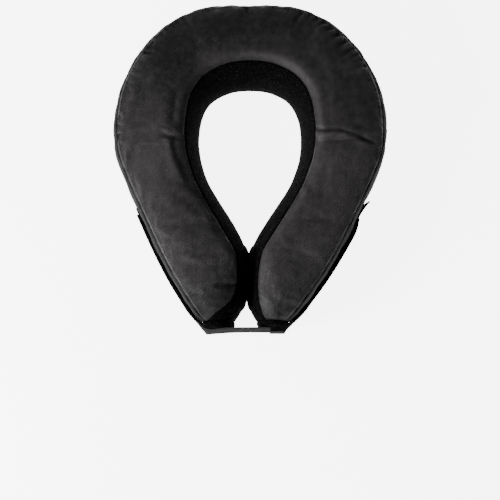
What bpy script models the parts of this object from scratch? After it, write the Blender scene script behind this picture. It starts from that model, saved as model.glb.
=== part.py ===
"""Foam neck brace for karting: a padded teardrop collar that closes at the throat with a hook-and-loop strap.

The collar is lofted through upright sections, from the tip on -X round the nape at +Y to the tip on +X.
A section runs from the throat line, the narrowest line of the neck opening, out to the top edge seam.
Going round it are the sole (the flat base), the outer band, the top panel and the neck lining.
Lengths are in metres, Z is up, and the brace lies on its sole with the tips towards -Y.
"""

import math
from typing import NamedTuple

import bmesh
import bpy
from mathutils import Vector

# Collar
COLLAR_WIDTH = 0.273  # side to side
COLLAR_HEIGHT = 0.075  # sole to crown
NAPE_PAD = 0.0755  # depth of the pad at the nape, throat line to outer band
NECK_LENGTH = 0.179  # neck opening at the throat line, nape to where the tips meet
TIP_LENGTH = 0.070  # from where the tips meet to their front ends
THROAT_WIDTH = 0.106  # neck opening at the throat line, side to side
RIM_FLARE = 0.012  # how far the rim seam stands back from the throat line
TIP_GAP = 0.0016  # between the two tips where they meet
TIP_LEAN = -0.0045  # sideways lean of the closed tips

# Section
RIM_DROP = 0.008  # rim seam below the crown
RIM_ROLL = 0.011  # width of the rolled inner margin of the top panel
EDGE_DROP = 0.004  # top edge seam below the crown
EDGE_INSET = 0.003  # how far the top edge seam stands in from the collar's side
EDGE_ROLL = 0.010  # width of the sloping outer margin of the top panel
ROLL_LIMIT = 0.30  # widest that either margin gets, as a share of the top panel's width
HEM_HEIGHT = 0.009  # seam between outer band and sole, above the base
HEM_TAPER = 0.007  # how far the hem stands in from the collar's side
BAND_BULGE = 0.001  # outer band's swell, past the collar's side, under the top edge seam
SOLE_ROLL = 0.004  # seam between lining and sole, above the base
SOLE_MARGIN = 0.006  # width of the sole's rounded margins
INSEAM_SHARE = 0.30  # seam between lining and sole, out from the throat line, of the rim's flare
SOLE_TURN = (0.22, 0.30)  # where the sole turns up: in from the hem, of the margin, and up, of its height
EDGE_FALL_SHARE = 0.30  # fall of the top panel at the inner end of its outer margin, of the edge's drop
RIM_FALL_SHARE = 0.16  # fall of the top panel at the outer end of its inner margin, of the rim's drop
BAND_SHARES = ((0.55, 0.28), (0.15, 0.58))  # in from the side, of the taper, and up, of the band's rise
BULGE_SHARE = 0.84  # height of the outer band's swell, of its rise
LINING_SHARES = ((0.42, 0.74), (0.08, 0.50), (0.02, 0.26))  # out, of the flare, and up, of the rim's height

# Cloth and clearances
PANEL_CLOTH = 0.0015  # nylon of the top panel, outer band and sole
LINING_CLOTH = 0.0025  # brushed fleece of the neck lining
END_CLOTH = 0.0030  # cover of a tip's front end, with its seam turned in
END_ROUNDING = 0.005  # how far the end cover's outer face is drawn in all round
END_SHARES = ((0.0, 0.0), (0.25, 0.6), (1.0, 1.0))  # drawn in, of its rounding, and out, of its thickness
FOAM_GAP = 0.0004  # between foam and cloth
SEAM_GAP = 0.0003  # taken off each panel at a seam
SEWN_GAP = 0.0003  # between a patch and what it is sewn to

# Patch on the nape
PATCH_LENGTH = 0.126
PATCH_HEIGHT = 0.032
PATCH_MIDDLE = 0.040  # middle of the patch above the base
PATCH_OFFSET = -0.004  # middle of the patch from the nape, towards +X
PATCH_CLOTH = 0.0012
BORDER_WIDTH = 0.0036
BORDER_THICKNESS = 0.0022
BORDER_SHARES = ((0.0, 0.0), (0.0, 0.45), (0.3, 1.0), (0.7, 1.0), (1.0, 0.45), (1.0, 0.0), (0.5, 0.0))
BAR_THICKNESS = 0.0008
BAR_HEIGHT = 0.0150
BAR_WIDTH = 0.0070
BAR_SPACING = 0.0128
BAR_SLANT = 0.0040  # how far a bar's top leans past its foot
BAR_COUNT = 7
GREEN_BARS = 2

# Closure
STRAP_WIDTH = 0.036
STRAP_THICKNESS = 0.0020
STRAP_MIDDLE = 0.036  # middle of the strap above the base
STRAP_REACH = 0.126  # how far the strap runs back along each side from the tips' ends
STRAP_TUCK = 0.0015  # how far inside the tips' corners the strap turns to cross the tips
STRAP_SKEW = 0.0020  # how much further forward the strap crosses at its end on -X
FOLD_THICKNESS = 0.0024  # what the strap's folded end on +X adds to it
FOLD_LENGTH = 0.095
FOLD_SHARE = 0.85  # of the fold's thickness, just before the strap's end
END_PRESS_SHARE = 0.5  # how much of the strap's thickness is pressed out of its end on +X
LOOP_WIDTH = 0.040
LOOP_PILE = 0.0015
LOOP_REACH_LEFT = 0.132
LOOP_REACH_RIGHT = 0.146
LOOP_START = 0.018  # from a tip's end to the front edge of the loop patch
LOOP_END_LIFT = 0.0030  # how far the rear end of the loop patch on +X springs off the wall
LOOP_LIFT_LENGTH = 0.016
KEEPER_CLOTH = 0.0014
KEEPER_LENGTH = 0.015
KEEPER_OFFSET = 0.032  # middle of the keeper from the closed tips' meeting line
KEEPER_GAP = 0.0004  # between the keeper and the strap in it
WALL_STATIONS = 10  # on each side of the collar, along the strap
STRAP_LEVELS = 4  # across the strap


class Row(NamedTuple):
    """One section of the collar's +X half, in shares of the named sizes."""

    outer_x: float  # of half the collar's width
    outer_run: float  # of the collar's length, from the nape
    throat_x: float  # of half the throat's width
    throat_run: float  # 0 to 1 along the neck opening, 1 to 2 along the tip
    flare: float  # of the rim's flare
    height: float  # of the collar's height
    steps: int  # sections from this row to the next


ROWS = (
    Row(0.000, 0.000, 0.000, 0.000, 1.25, 1.000, 2),
    Row(0.325, 0.007, 0.320, 0.007, 1.20, 1.000, 2),
    Row(0.586, 0.054, 0.620, 0.044, 1.15, 1.000, 2),
    Row(0.777, 0.130, 0.810, 0.094, 1.10, 1.000, 2),
    Row(0.897, 0.208, 0.935, 0.168, 1.05, 1.000, 2),
    Row(0.971, 0.293, 0.995, 0.262, 1.00, 1.000, 2),
    Row(1.000, 0.397, 1.000, 0.353, 1.00, 1.000, 2),
    Row(0.975, 0.494, 0.934, 0.466, 1.05, 1.000, 1),
    Row(0.890, 0.583, 0.765, 0.598, 1.15, 1.000, 1),
    Row(0.780, 0.680, 0.460, 0.736, 1.30, 1.000, 2),
    Row(0.670, 0.775, 0.140, 0.895, 1.25, 1.000, 2),
    Row(0.553, 0.863, 0.000, 1.020, 0.95, 1.000, 1),
    Row(0.454, 0.926, 0.000, 1.290, 0.80, 0.995, 1),
    Row(0.408, 0.952, 0.004, 1.590, 0.78, 0.975, 1),
    Row(0.364, 0.977, 0.075, 1.800, 0.74, 0.930, 1),
    Row(0.312, 1.000, 0.200, 1.960, 0.66, 0.850, 1),
)
LAST = len(ROWS) - 1


class Fold(NamedTuple):
    """A dent, or a raised fold if its depth is negative, on one panel. Each fades out over its reach."""

    panel: str
    row: float  # middle along the collar, in rows, negative on -X
    row_reach: float
    across: float  # middle across the panel, 0 to 1
    across_reach: float
    depth: float  # in metres


# Across a panel: the band from hem to top edge, the top from top edge to rim, the lining from rim to sole.
FOLDS = (
    Fold("top_panel", -6.25, 0.26, 0.62, 0.60, 0.0026),
    Fold("top_panel", -5.90, 0.24, 0.60, 0.55, -0.0011),
    Fold("top_panel", 6.45, 0.24, 0.52, 0.62, 0.0024),
    Fold("top_panel", 6.10, 0.24, 0.50, 0.55, -0.0010),
    Fold("top_panel", -7.30, 1.30, 0.86, 0.16, 0.0016),
    Fold("top_panel", 8.80, 0.60, 0.90, 0.18, 0.0014),
    Fold("outer_band", 0.00, 2.60, 0.84, 0.16, 0.0014),
    Fold("outer_band", 0.00, 2.80, 0.12, 0.16, 0.0012),
    Fold("outer_band", 3.90, 1.40, 0.62, 0.16, 0.0011),
    Fold("outer_band", 4.60, 1.40, 0.30, 0.16, 0.0010),
    Fold("outer_band", -3.90, 1.40, 0.58, 0.16, 0.0012),
    Fold("outer_band", -4.40, 1.30, 0.86, 0.16, 0.0010),
)


class Gather(NamedTuple):
    """A run of even puckers in the top panel along its outer edge."""

    first_row: float
    last_row: float
    puckers: int
    across_reach: float
    depth: float


GATHER_START_SHARE = 0.1  # across the panel, from its outer edge, where the puckers are deepest

GATHERS = (
    Gather(-4.70, -3.50, 4, 0.34, 0.0012),
    Gather(4.10, 5.30, 4, 0.34, 0.0011),
)

SIDES = ("sole", "outer_band", "top_panel", "neck_lining")
SIDE_STEPS = {"sole": 4, "outer_band": 6, "top_panel": 7, "neck_lining": 4}
CLOTH = {
    "sole": PANEL_CLOTH,
    "outer_band": PANEL_CLOTH,
    "top_panel": PANEL_CLOTH,
    "neck_lining": LINING_CLOTH,
}
COLLAR_LENGTH = NAPE_PAD + NECK_LENGTH + TIP_LENGTH
NARROW_FOLD_ROWS = 0.5  # a fold that reaches fewer rows than this gets sections of its own
SPACING_ROWS = 0.07  # least distance between sections, in rows
SHARP_ANGLE = math.radians(40)


def catmull(a, b, c, d, t):
    """The curve through b and c, at t from 0 to 1, with a and d as its neighbours."""
    return b + 0.5 * t * (c - a + t * (2 * a - 5 * b + 4 * c - d + t * (3 * (b - c) + d - a)))


def along_rows(column, position):
    """One column of ROWS at a position between rows. Going past the nape mirrors it."""

    def value(index):
        if index > LAST:
            return 2 * getattr(ROWS[LAST], column) - getattr(ROWS[2 * LAST - index], column)
        found = getattr(ROWS[abs(index)], column)
        return -found if index < 0 and column.endswith("_x") else found

    at = min(abs(position), LAST)
    first = min(int(at), LAST - 1)
    found = catmull(*(value(first + step) for step in (-1, 0, 1, 2)), at - first)
    return -found if position < 0 and column.endswith("_x") else found


def lean(run):
    """Sideways lean of the collar at a share of its length: none as far as the shoulders, then growing."""
    late = max(0.0, run - 0.5) / 0.5
    return TIP_LEAN * late * late


class Section(NamedTuple):
    """Where one upright section stands."""

    throat: Vector
    outer: Vector
    flare: float
    height: float
    position: float


def section_at(position):
    """The section at a position in rows, from -LAST at one tip to LAST at the other."""
    outer_run = along_rows("outer_run", position)
    throat_run = along_rows("throat_run", position)
    neck, tip = min(throat_run, 1.0), max(throat_run - 1.0, 0.0)
    throat_y = -NAPE_PAD - neck * NECK_LENGTH - tip * TIP_LENGTH
    side = -1 if position < 0 else 1
    clear = side * TIP_GAP / 2 if abs(position) > 0.5 else 0.0
    throat_x = along_rows("throat_x", position) * (THROAT_WIDTH - TIP_GAP) / 2 + clear
    outer_x = along_rows("outer_x", position) * COLLAR_WIDTH / 2
    return Section(
        Vector((throat_x + lean(-throat_y / COLLAR_LENGTH), throat_y)),
        Vector((outer_x + lean(outer_run), -outer_run * COLLAR_LENGTH)),
        along_rows("flare", position) * RIM_FLARE,
        along_rows("height", position) * COLLAR_HEIGHT,
        position,
    )


def smooth_line(points, steps):
    """A curve through the points, as steps + 1 points that include both ends."""
    spans = len(points) - 1
    padded = [2 * points[0] - points[1], *points, 2 * points[-1] - points[-2]]
    made = []
    for step in range(steps + 1):
        at = step * spans / steps
        first = min(int(at), spans - 1)
        made.append(catmull(*padded[first : first + 4], at - first))
    return made


def side_line(side, width, flare, height):
    """One side of a section, as (distance from the throat line, height) points from seam to seam."""
    rim = Vector((flare, height - RIM_DROP))
    edge = Vector((width - EDGE_INSET, height - EDGE_DROP))
    hem = Vector((width - HEM_TAPER, HEM_HEIGHT))
    inseam = Vector((INSEAM_SHARE * flare, SOLE_ROLL))
    if side == "sole":
        flat_start = Vector((inseam.x + SOLE_MARGIN, 0.0))
        flat_end = Vector((hem.x - SOLE_MARGIN, 0.0))
        outer_turn = Vector((hem.x - SOLE_TURN[0] * SOLE_MARGIN, SOLE_TURN[1] * HEM_HEIGHT))
        return [inseam, flat_start, flat_end, outer_turn, hem]
    if side == "outer_band":
        rise = edge.y - hem.y
        shape = [
            hem,
            *(Vector((width - inward * HEM_TAPER, hem.y + up * rise)) for inward, up in BAND_SHARES),
            Vector((width + BAND_BULGE, hem.y + BULGE_SHARE * rise)),
            edge,
        ]
    elif side == "top_panel":
        most = ROLL_LIMIT * (edge.x - flare)
        edge_x = edge.x - min(EDGE_ROLL, most)
        rim_x = flare + min(RIM_ROLL, most)
        shape = [
            edge,
            Vector((edge_x, height - EDGE_FALL_SHARE * EDGE_DROP)),
            Vector((0.5 * (edge_x + rim_x), height)),
            Vector((rim_x, height - RIM_FALL_SHARE * RIM_DROP)),
            rim,
        ]
    else:
        shape = [rim, *(Vector((out * flare, up * rim.y)) for out, up in LINING_SHARES), inseam]
    return smooth_line(shape, SIDE_STEPS[side])


def fade(distance, reach):
    """1 at no distance, falling smoothly to 0 at the reach."""
    share = abs(distance) / reach
    return math.cos(0.5 * math.pi * share) ** 2 if share < 1 else 0.0


def dent(side, position, across):
    """How far a panel is pushed in at a place, from the folds and gathers on it."""
    depth = sum(
        fold.depth
        * fade(position - fold.row, fold.row_reach)
        * fade(across - fold.across, fold.across_reach)
        for fold in FOLDS
        if fold.panel == side
    )
    if side == "top_panel":
        for gather in GATHERS:
            share = (position - gather.first_row) / (gather.last_row - gather.first_row)
            if 0 < share < 1 and across > 0:
                wave = 0.5 - 0.5 * math.cos(2 * math.pi * share * gather.puckers)
                depth += gather.depth * wave * fade(across - GATHER_START_SHARE, gather.across_reach)
    return depth


def normals_of(ring):
    """The outward direction at each corner of a closed ring, lengthened to keep offsets parallel."""
    found = []
    for index, corner in enumerate(ring):
        before = (corner - ring[index - 1]).normalized()
        after = (ring[(index + 1) % len(ring)] - corner).normalized()
        before_normal = Vector((before.y, -before.x))
        after_normal = Vector((after.y, -after.x))
        middle = (before_normal + after_normal).normalized()
        found.append(middle / max(middle.dot(after_normal), 0.5))
    return found


def section_ring(section):
    """The cover's outer face in a section: ring points, outward directions, and each side's first index."""
    width = (section.outer - section.throat).length
    plain, labels, starts = [], [], {}
    for side in SIDES:
        starts[side] = len(plain)
        line = side_line(side, width, section.flare, section.height)
        for index, point in enumerate(line[:-1]):
            plain.append(point)
            labels.append((side, index / (len(line) - 1)))
    outward = normals_of(plain)
    ring = [
        point - direction * dent(side, section.position, share)
        for point, direction, (side, share) in zip(plain, outward, labels)
    ]
    return ring, normals_of(ring), starts


def in_space(section, point):
    """A section's (distance, height) point as a point of the model."""
    direction = (section.outer - section.throat).normalized()
    place = section.throat + direction * point.x
    return Vector((place.x, place.y, point.y))


def panel_ring(section, side):
    """The closed outline of one cloth panel in a section: its outer face, then its inner face going back."""
    ring, outward, starts = section_ring(section)
    first = starts[side]
    indices = [(first + step) % len(ring) for step in range(SIDE_STEPS[side] + 1)]
    outer = [ring[index].copy() for index in indices]
    inner = [ring[index] - outward[index] * CLOTH[side] for index in indices]
    for line in (outer, inner):
        line[0] += (line[1] - line[0]).normalized() * SEAM_GAP
        line[-1] += (line[-2] - line[-1]).normalized() * SEAM_GAP
    return [in_space(section, point) for point in [*outer, *reversed(inner)]]


def foam_ring(section):
    """The foam's outline in a section, everywhere clear of the cloth round it."""
    ring, outward, starts = section_ring(section)
    points = []
    for side in SIDES:
        before = SIDES[SIDES.index(side) - 1]
        for step in range(SIDE_STEPS[side]):
            index = starts[side] + step
            cloth = max(CLOTH[side], CLOTH[before]) if step == 0 else CLOTH[side]
            points.append(ring[index] - outward[index] * (cloth + FOAM_GAP))
    return [in_space(section, point) for point in points]


def section_positions():
    """The positions of all sections: the rows' own steps, and more at narrow folds and gathers."""
    found = {0.0}
    for side in (-1, 1):
        for index, row in enumerate(ROWS[:-1]):
            found |= {side * (index + step / row.steps) for step in range(row.steps)}
        found.add(side * float(LAST))
    for fold in FOLDS:
        if fold.row_reach < NARROW_FOLD_ROWS:
            found |= {fold.row + share * fold.row_reach for share in (-0.5, 0.0, 0.5)}
    for gather in GATHERS:
        halves = 2 * gather.puckers
        length = gather.last_row - gather.first_row
        found |= {gather.first_row + length * half / halves for half in range(halves + 1)}
    kept = []
    for position in sorted(found):
        if not kept or position - kept[-1] > SPACING_ROWS:
            kept.append(position)
    kept[-1] = float(LAST)
    return kept


def material(name, colour, roughness, metallic=0.0):
    """A Principled BSDF of one colour."""
    made = bpy.data.materials.new(name)
    made.use_nodes = True
    shader = made.node_tree.nodes["Principled BSDF"]
    shader.inputs["Base Color"].default_value = (*colour, 1.0)
    shader.inputs["Roughness"].default_value = roughness
    shader.inputs["Metallic"].default_value = metallic
    return made


def add_object(name, mesh_builder, finish):
    """An object of the finished mesh, smooth except at its sharp edges."""
    bmesh.ops.recalc_face_normals(mesh_builder, faces=mesh_builder.faces)
    if mesh_builder.calc_volume(signed=True) < 0:
        bmesh.ops.reverse_faces(mesh_builder, faces=mesh_builder.faces)
    mesh = bpy.data.meshes.new(name)
    mesh_builder.to_mesh(mesh)
    mesh_builder.free()
    mesh.materials.append(finish)
    mesh.shade_smooth()
    mesh.set_sharp_from_angle(angle=SHARP_ANGLE)
    made = bpy.data.objects.new(name, mesh)
    bpy.context.scene.collection.objects.link(made)
    return made


def loft(name, rings, finish, closed=False, sheet=False):
    """A solid through closed rings with as many points each. A loft that isn't closed gets a cap at each end.

    The second half of a sheet's ring runs back along its first half. Its quads are split along the diagonal
    that faces the first half's, so that a sheet's two faces and what lies under it stay parallel.
    """
    builder = bmesh.new()
    loops = [[builder.verts.new(point) for point in ring] for ring in rings]
    count = len(loops[0])
    pairs = list(zip(loops, loops[1:] + loops[:1])) if closed else list(zip(loops, loops[1:]))
    for near, far in pairs:
        for index in range(count):
            after = (index + 1) % count
            corners = [near[index], far[index], far[after], near[after]]
            if sheet and index >= count // 2:
                corners = [*corners[1:], corners[0]]
            builder.faces.new(corners)
    bmesh.ops.triangulate(builder, faces=builder.faces, quad_method="FIXED")
    if not closed:
        caps = [builder.faces.new(reversed(loops[0])), builder.faces.new(loops[-1])]
        bmesh.ops.triangulate(builder, faces=caps, ngon_method="EAR_CLIP")
    return add_object(name, builder, finish)


def build_collar(finishes):
    """The foam, its four sewn panels, and the cover of each tip's front end."""
    sections = [section_at(position) for position in section_positions()]
    made = [loft("foam_core", [foam_ring(section) for section in sections], finishes["foam"])]
    for side in SIDES:
        finish = finishes["fleece" if side == "neck_lining" else "nylon"]
        made.append(loft(side, [panel_ring(section, side) for section in sections], finish, sheet=True))
    for name, section in (("tip_end_left", sections[0]), ("tip_end_right", sections[-1])):
        made.append(build_tip_end(name, section, finishes["fleece"]))
    return made


def end_direction(section):
    """The level direction in which a tip's front end faces."""
    across = (section.outer - section.throat).normalized()
    side = -1 if section.position < 0 else 1
    return Vector((across.y * side, -across.x * side, 0.0))


def build_tip_end(name, section, finish):
    """A cover over the end of one tip, with its outer face drawn in all round."""
    ring, _, _ = section_ring(section)
    half = Vector(((section.outer - section.throat).length / 2, section.height / 2))
    forward = end_direction(section)
    rings = []
    for inset, out in END_SHARES:
        kept = Vector(1 - inset * END_ROUNDING / size for size in half)
        shift = forward * (SEWN_GAP + out * END_CLOTH)
        rings.append([in_space(section, half + (point - half) * kept) + shift for point in ring])
    return loft(name, rings, finish)


class Wall:
    """The outer band's face, unrolled: a place is (distance along from the nape, height, distance off it)."""

    SAMPLES = 40  # for each row

    def __init__(self):
        count = LAST * self.SAMPLES
        self.positions = [step / self.SAMPLES for step in range(-count, count + 1)]
        self.sections = [section_at(position) for position in self.positions]
        self.distances = [0.0]
        for before, after in zip(self.sections, self.sections[1:]):
            self.distances.append(self.distances[-1] + (after.outer - before.outer).length)
        middle = self.distances[count]
        self.distances = [distance - middle for distance in self.distances]
        self.end = self.distances[-1]
        self.start = self.distances[0]

    def index(self, distance):
        """The index of the last sample before a distance along, as a number with a fraction."""
        low, high = 0, len(self.distances) - 1
        while high - low > 1:
            middle = (low + high) // 2
            if self.distances[middle] <= distance:
                low = middle
            else:
                high = middle
        span = self.distances[high] - self.distances[low]
        return low + (distance - self.distances[low]) / span

    def place(self, distance, height, off):
        """A point of the model from a place on the wall."""
        at = min(max(self.index(distance), 0.0), len(self.positions) - 1.001)
        low = int(at)
        position = self.positions[low] + (at - low) / self.SAMPLES
        section = section_at(position)
        ring, _, starts = section_ring(section)
        first = starts["outer_band"]
        line = ring[first : first + SIDE_STEPS["outer_band"] + 1]
        out = line[-1].x
        for below, above in zip(line, line[1:]):
            if below.y <= height <= above.y:
                share = (height - below.y) / (above.y - below.y)
                out = below.x + share * (above.x - below.x)
        run = self.sections[low + 1].outer - self.sections[low].outer
        away = Vector((run.y, -run.x, 0.0)).normalized()
        face = in_space(section, Vector((out, height)))
        # Sections run clockwise seen from above, so the outward side lies to their left.
        return face - away * off


def sheet_on_wall(name, wall, corners, off, thickness, finish, steps, levels=4, lift=None):
    """A flat piece laid on the wall. Corners are (distance, height): foot start and end, top start and end.

    A lift gives, for a distance along the wall, how much further off it the piece stands.
    """
    foot_start, foot_end, top_start, top_end = (Vector(corner) for corner in corners)
    rings = []
    for step in range(steps + 1):
        foot = foot_start.lerp(foot_end, step / steps)
        top = top_start.lerp(top_end, step / steps)
        line = [foot.lerp(top, level / levels) for level in range(levels + 1)]
        risen = off + (lift(foot.x) if lift else 0.0)
        near = [wall.place(place.x, place.y, risen) for place in line]
        far = [wall.place(place.x, place.y, risen + thickness) for place in line]
        rings.append([*near, *reversed(far)])
    return loft(name, rings, finish, sheet=True)


def build_patch(wall, finishes):
    """The patch sewn on the nape: its ground, its border, and a row of slanted embroidered bars."""
    start = PATCH_OFFSET - PATCH_LENGTH / 2
    end = PATCH_OFFSET + PATCH_LENGTH / 2
    foot = PATCH_MIDDLE - PATCH_HEIGHT / 2
    top = PATCH_MIDDLE + PATCH_HEIGHT / 2
    inset = BORDER_WIDTH + SEWN_GAP
    corners = (
        (start + inset, foot + inset),
        (end - inset, foot + inset),
        (start + inset, top - inset),
        (end - inset, top - inset),
    )
    made = [
        sheet_on_wall("patch_ground", wall, corners, SEWN_GAP, PATCH_CLOTH, finishes["patch"], 12),
        build_border(wall, start, end, foot, top, finishes["border"]),
    ]
    bar_foot = PATCH_MIDDLE - BAR_HEIGHT / 2
    bar_top = PATCH_MIDDLE + BAR_HEIGHT / 2
    row_length = (BAR_COUNT - 1) * BAR_SPACING + BAR_WIDTH + BAR_SLANT
    bar_off = 2 * SEWN_GAP + PATCH_CLOTH
    for index in range(BAR_COUNT):
        left = PATCH_OFFSET - row_length / 2 + index * BAR_SPACING
        green = index >= BAR_COUNT - GREEN_BARS
        corners = (
            (left + BAR_SLANT, bar_foot),
            (left + BAR_SLANT + BAR_WIDTH, bar_foot),
            (left, bar_top),
            (left + BAR_WIDTH, bar_top),
        )
        finish = finishes["green_thread" if green else "white_thread"]
        name = f"bar_{'green' if green else 'white'}_{index + 1}"
        made.append(sheet_on_wall(name, wall, corners, bar_off, BAR_THICKNESS, finish, 2, levels=2))
    return made


def build_border(wall, start, end, foot, top, finish):
    """A half-round rib that runs right round the patch."""
    long_steps, short_steps = 12, 3
    lines = []
    for share_in, share_out in BORDER_SHARES:
        inset = share_in * BORDER_WIDTH
        low, high = foot + inset, top - inset
        left, right = start + inset, end - inset
        off = SEWN_GAP + share_out * BORDER_THICKNESS
        line = [(left + (right - left) * step / long_steps, low) for step in range(long_steps)]
        line += [(right, low + (high - low) * step / short_steps) for step in range(short_steps)]
        line += [(right + (left - right) * step / long_steps, high) for step in range(long_steps)]
        line += [(left, high + (low - high) * step / short_steps) for step in range(short_steps)]
        lines.append([wall.place(distance, height, off) for distance, height in line])
    rings = [list(ring) for ring in zip(*lines)]
    return loft("patch_border", rings, finish, closed=True)


def strap_front():
    """How far in front of the tips the strap's inner face crosses, past their end covers and the keeper."""
    return END_CLOTH + KEEPER_CLOTH + KEEPER_GAP + 2 * SEWN_GAP


def front_line(wall):
    """The strap's inner face across the tips, seen from above, from the corner on -X to the corner on +X."""
    left, right = (wall.place(end, STRAP_MIDDLE, 0.0) for end in (wall.start, wall.end))
    front = min(left.y, right.y) - strap_front()
    start = Vector((left.x + STRAP_TUCK, front - STRAP_SKEW))
    end = Vector((right.x - STRAP_TUCK, front))
    return smooth_line([start, start.lerp(end, 0.4) + Vector((0.0, 0.6 * STRAP_SKEW)), end], 6)


def strap_rings(wall):
    """The strap's outline at each station, from its end on -X round the tips to its folded end on +X."""
    off = SEWN_GAP + LOOP_PILE + SEWN_GAP
    levels = [STRAP_MIDDLE + STRAP_WIDTH * (step / STRAP_LEVELS - 0.5) for step in range(STRAP_LEVELS + 1)]
    backs = [STRAP_REACH * (1 - step / WALL_STATIONS) for step in range(WALL_STATIONS)]
    rings = []
    for back in backs:
        rings.append(wall_ring(wall, wall.start + back, levels, off, off + STRAP_THICKNESS))
    line = front_line(wall)
    for index, point in enumerate(line):
        run = (line[min(index + 1, len(line) - 1)] - line[max(index - 1, 0)]).normalized()
        away = Vector((run.y, -run.x)) * STRAP_THICKNESS
        near, far = ([Vector((*place, height)) for height in levels] for place in (point, point + away))
        rings.append([*near, *reversed(far)])
    for back in reversed(backs):
        fold = FOLD_THICKNESS * min(1.0, max(0.0, (back - STRAP_REACH) / FOLD_LENGTH + 1))
        if back == backs[0]:
            fold = -END_PRESS_SHARE * STRAP_THICKNESS
        elif back == backs[1]:
            fold = FOLD_SHARE * FOLD_THICKNESS
        thickness = STRAP_THICKNESS + fold
        rings.append(wall_ring(wall, wall.end - back, levels, off, off + thickness))
    return rings


def wall_ring(wall, distance, levels, near, far):
    """The outline of a strip on the wall: up its near face, then down its far face."""
    inner = [wall.place(distance, height, near) for height in levels]
    outer = [wall.place(distance, height, far) for height in levels]
    return [*inner, *reversed(outer)]


def build_closure(wall, finishes):
    """The loop patches on both sides, the strap that spans the tips, and the keeper that it runs through."""
    made = []
    loop_foot = STRAP_MIDDLE - LOOP_WIDTH / 2
    loop_top = STRAP_MIDDLE + LOOP_WIDTH / 2
    for name, side, end, reach in (
        ("loop_patch_left", -1, wall.start, LOOP_REACH_LEFT),
        ("loop_patch_right", 1, wall.end, LOOP_REACH_RIGHT),
    ):
        first, last = sorted((end - side * reach, end - side * LOOP_START))
        corners = ((first, loop_foot), (last, loop_foot), (first, loop_top), (last, loop_top))
        rear = end - side * reach
        lift = (lambda at: LOOP_END_LIFT * fade(at - rear, LOOP_LIFT_LENGTH)) if side > 0 else None
        made.append(
            sheet_on_wall(name, wall, corners, SEWN_GAP, LOOP_PILE, finishes["loop"], 10, lift=lift)
        )
    made.append(loft("closure_strap", strap_rings(wall), finishes["strap"], sheet=True))
    made.append(build_keeper(wall, finishes["keeper"]))
    return made


def build_keeper(wall, finish):
    """A flat loop of webbing round the strap, in front of the tip on +X."""
    middle = lean(1.0) + KEEPER_OFFSET
    crossed = [point.y for point in front_line(wall) if abs(point.x - middle) < KEEPER_LENGTH]
    front = max(crossed)
    near = -KEEPER_GAP
    far = STRAP_THICKNESS + front - min(crossed) + KEEPER_GAP
    low = STRAP_MIDDLE - STRAP_WIDTH / 2 - KEEPER_GAP
    high = STRAP_MIDDLE + STRAP_WIDTH / 2 + KEEPER_GAP
    cloth = KEEPER_CLOTH
    outline = ((near, low), (far, low), (far, high), (near, high))
    outer = ((near - cloth, low - cloth), (far + cloth, low - cloth))
    outer += ((far + cloth, high + cloth), (near - cloth, high + cloth))
    rings = []
    for (inner_off, inner_z), (outer_off, outer_z) in zip(outline, outer):
        ring = []
        for x, off, z in (
            (middle - KEEPER_LENGTH / 2, inner_off, inner_z),
            (middle + KEEPER_LENGTH / 2, inner_off, inner_z),
            (middle + KEEPER_LENGTH / 2, outer_off, outer_z),
            (middle - KEEPER_LENGTH / 2, outer_off, outer_z),
        ):
            ring.append(Vector((x, front - off, z)))
        rings.append(ring)
    return loft("strap_keeper", rings, finish, closed=True)


def centre_on_origin(objects):
    """Hangs the objects on one empty, and sets it so that the brace's box stands centred on the origin."""
    low = Vector(min(vertex.co[axis] for o in objects for vertex in o.data.vertices) for axis in range(3))
    high = Vector(max(vertex.co[axis] for o in objects for vertex in o.data.vertices) for axis in range(3))
    frame = bpy.data.objects.new("brace_frame", None)
    bpy.context.scene.collection.objects.link(frame)
    frame.location = (-(low.x + high.x) / 2, -(low.y + high.y) / 2, -low.z)
    for o in objects:
        o.parent = frame


def main():
    """Clears the scene and builds the brace."""
    for o in list(bpy.data.objects):
        bpy.data.objects.remove(o)
    finishes = {
        "foam": material("foam", (0.35, 0.34, 0.32), 0.95),
        "nylon": material("nylon", (0.022, 0.021, 0.022), 0.55),
        "fleece": material("fleece", (0.006, 0.006, 0.006), 0.95),
        "patch": material("patch", (0.014, 0.013, 0.014), 0.70),
        "border": material("border", (0.004, 0.004, 0.004), 0.60),
        "white_thread": material("white_thread", (0.72, 0.71, 0.72), 0.50),
        "green_thread": material("green_thread", (0.52, 0.66, 0.07), 0.50),
        "loop": material("loop", (0.008, 0.008, 0.008), 0.90),
        "strap": material("strap", (0.030, 0.030, 0.030), 0.40),
        "keeper": material("keeper", (0.010, 0.010, 0.010), 0.60),
    }
    wall = Wall()
    objects = build_collar(finishes)
    objects += build_patch(wall, finishes)
    objects += build_closure(wall, finishes)
    centre_on_origin(objects)


main()
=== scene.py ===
"""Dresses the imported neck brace: nylon cover, fleece lining, patch and strap, floor, light and camera."""

import logging
import math
from dataclasses import dataclass
from enum import Enum

import bmesh
import bpy
import numpy as np
from mathutils import Matrix, Vector, noise
from mathutils.bvhtree import BVHTree


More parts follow.
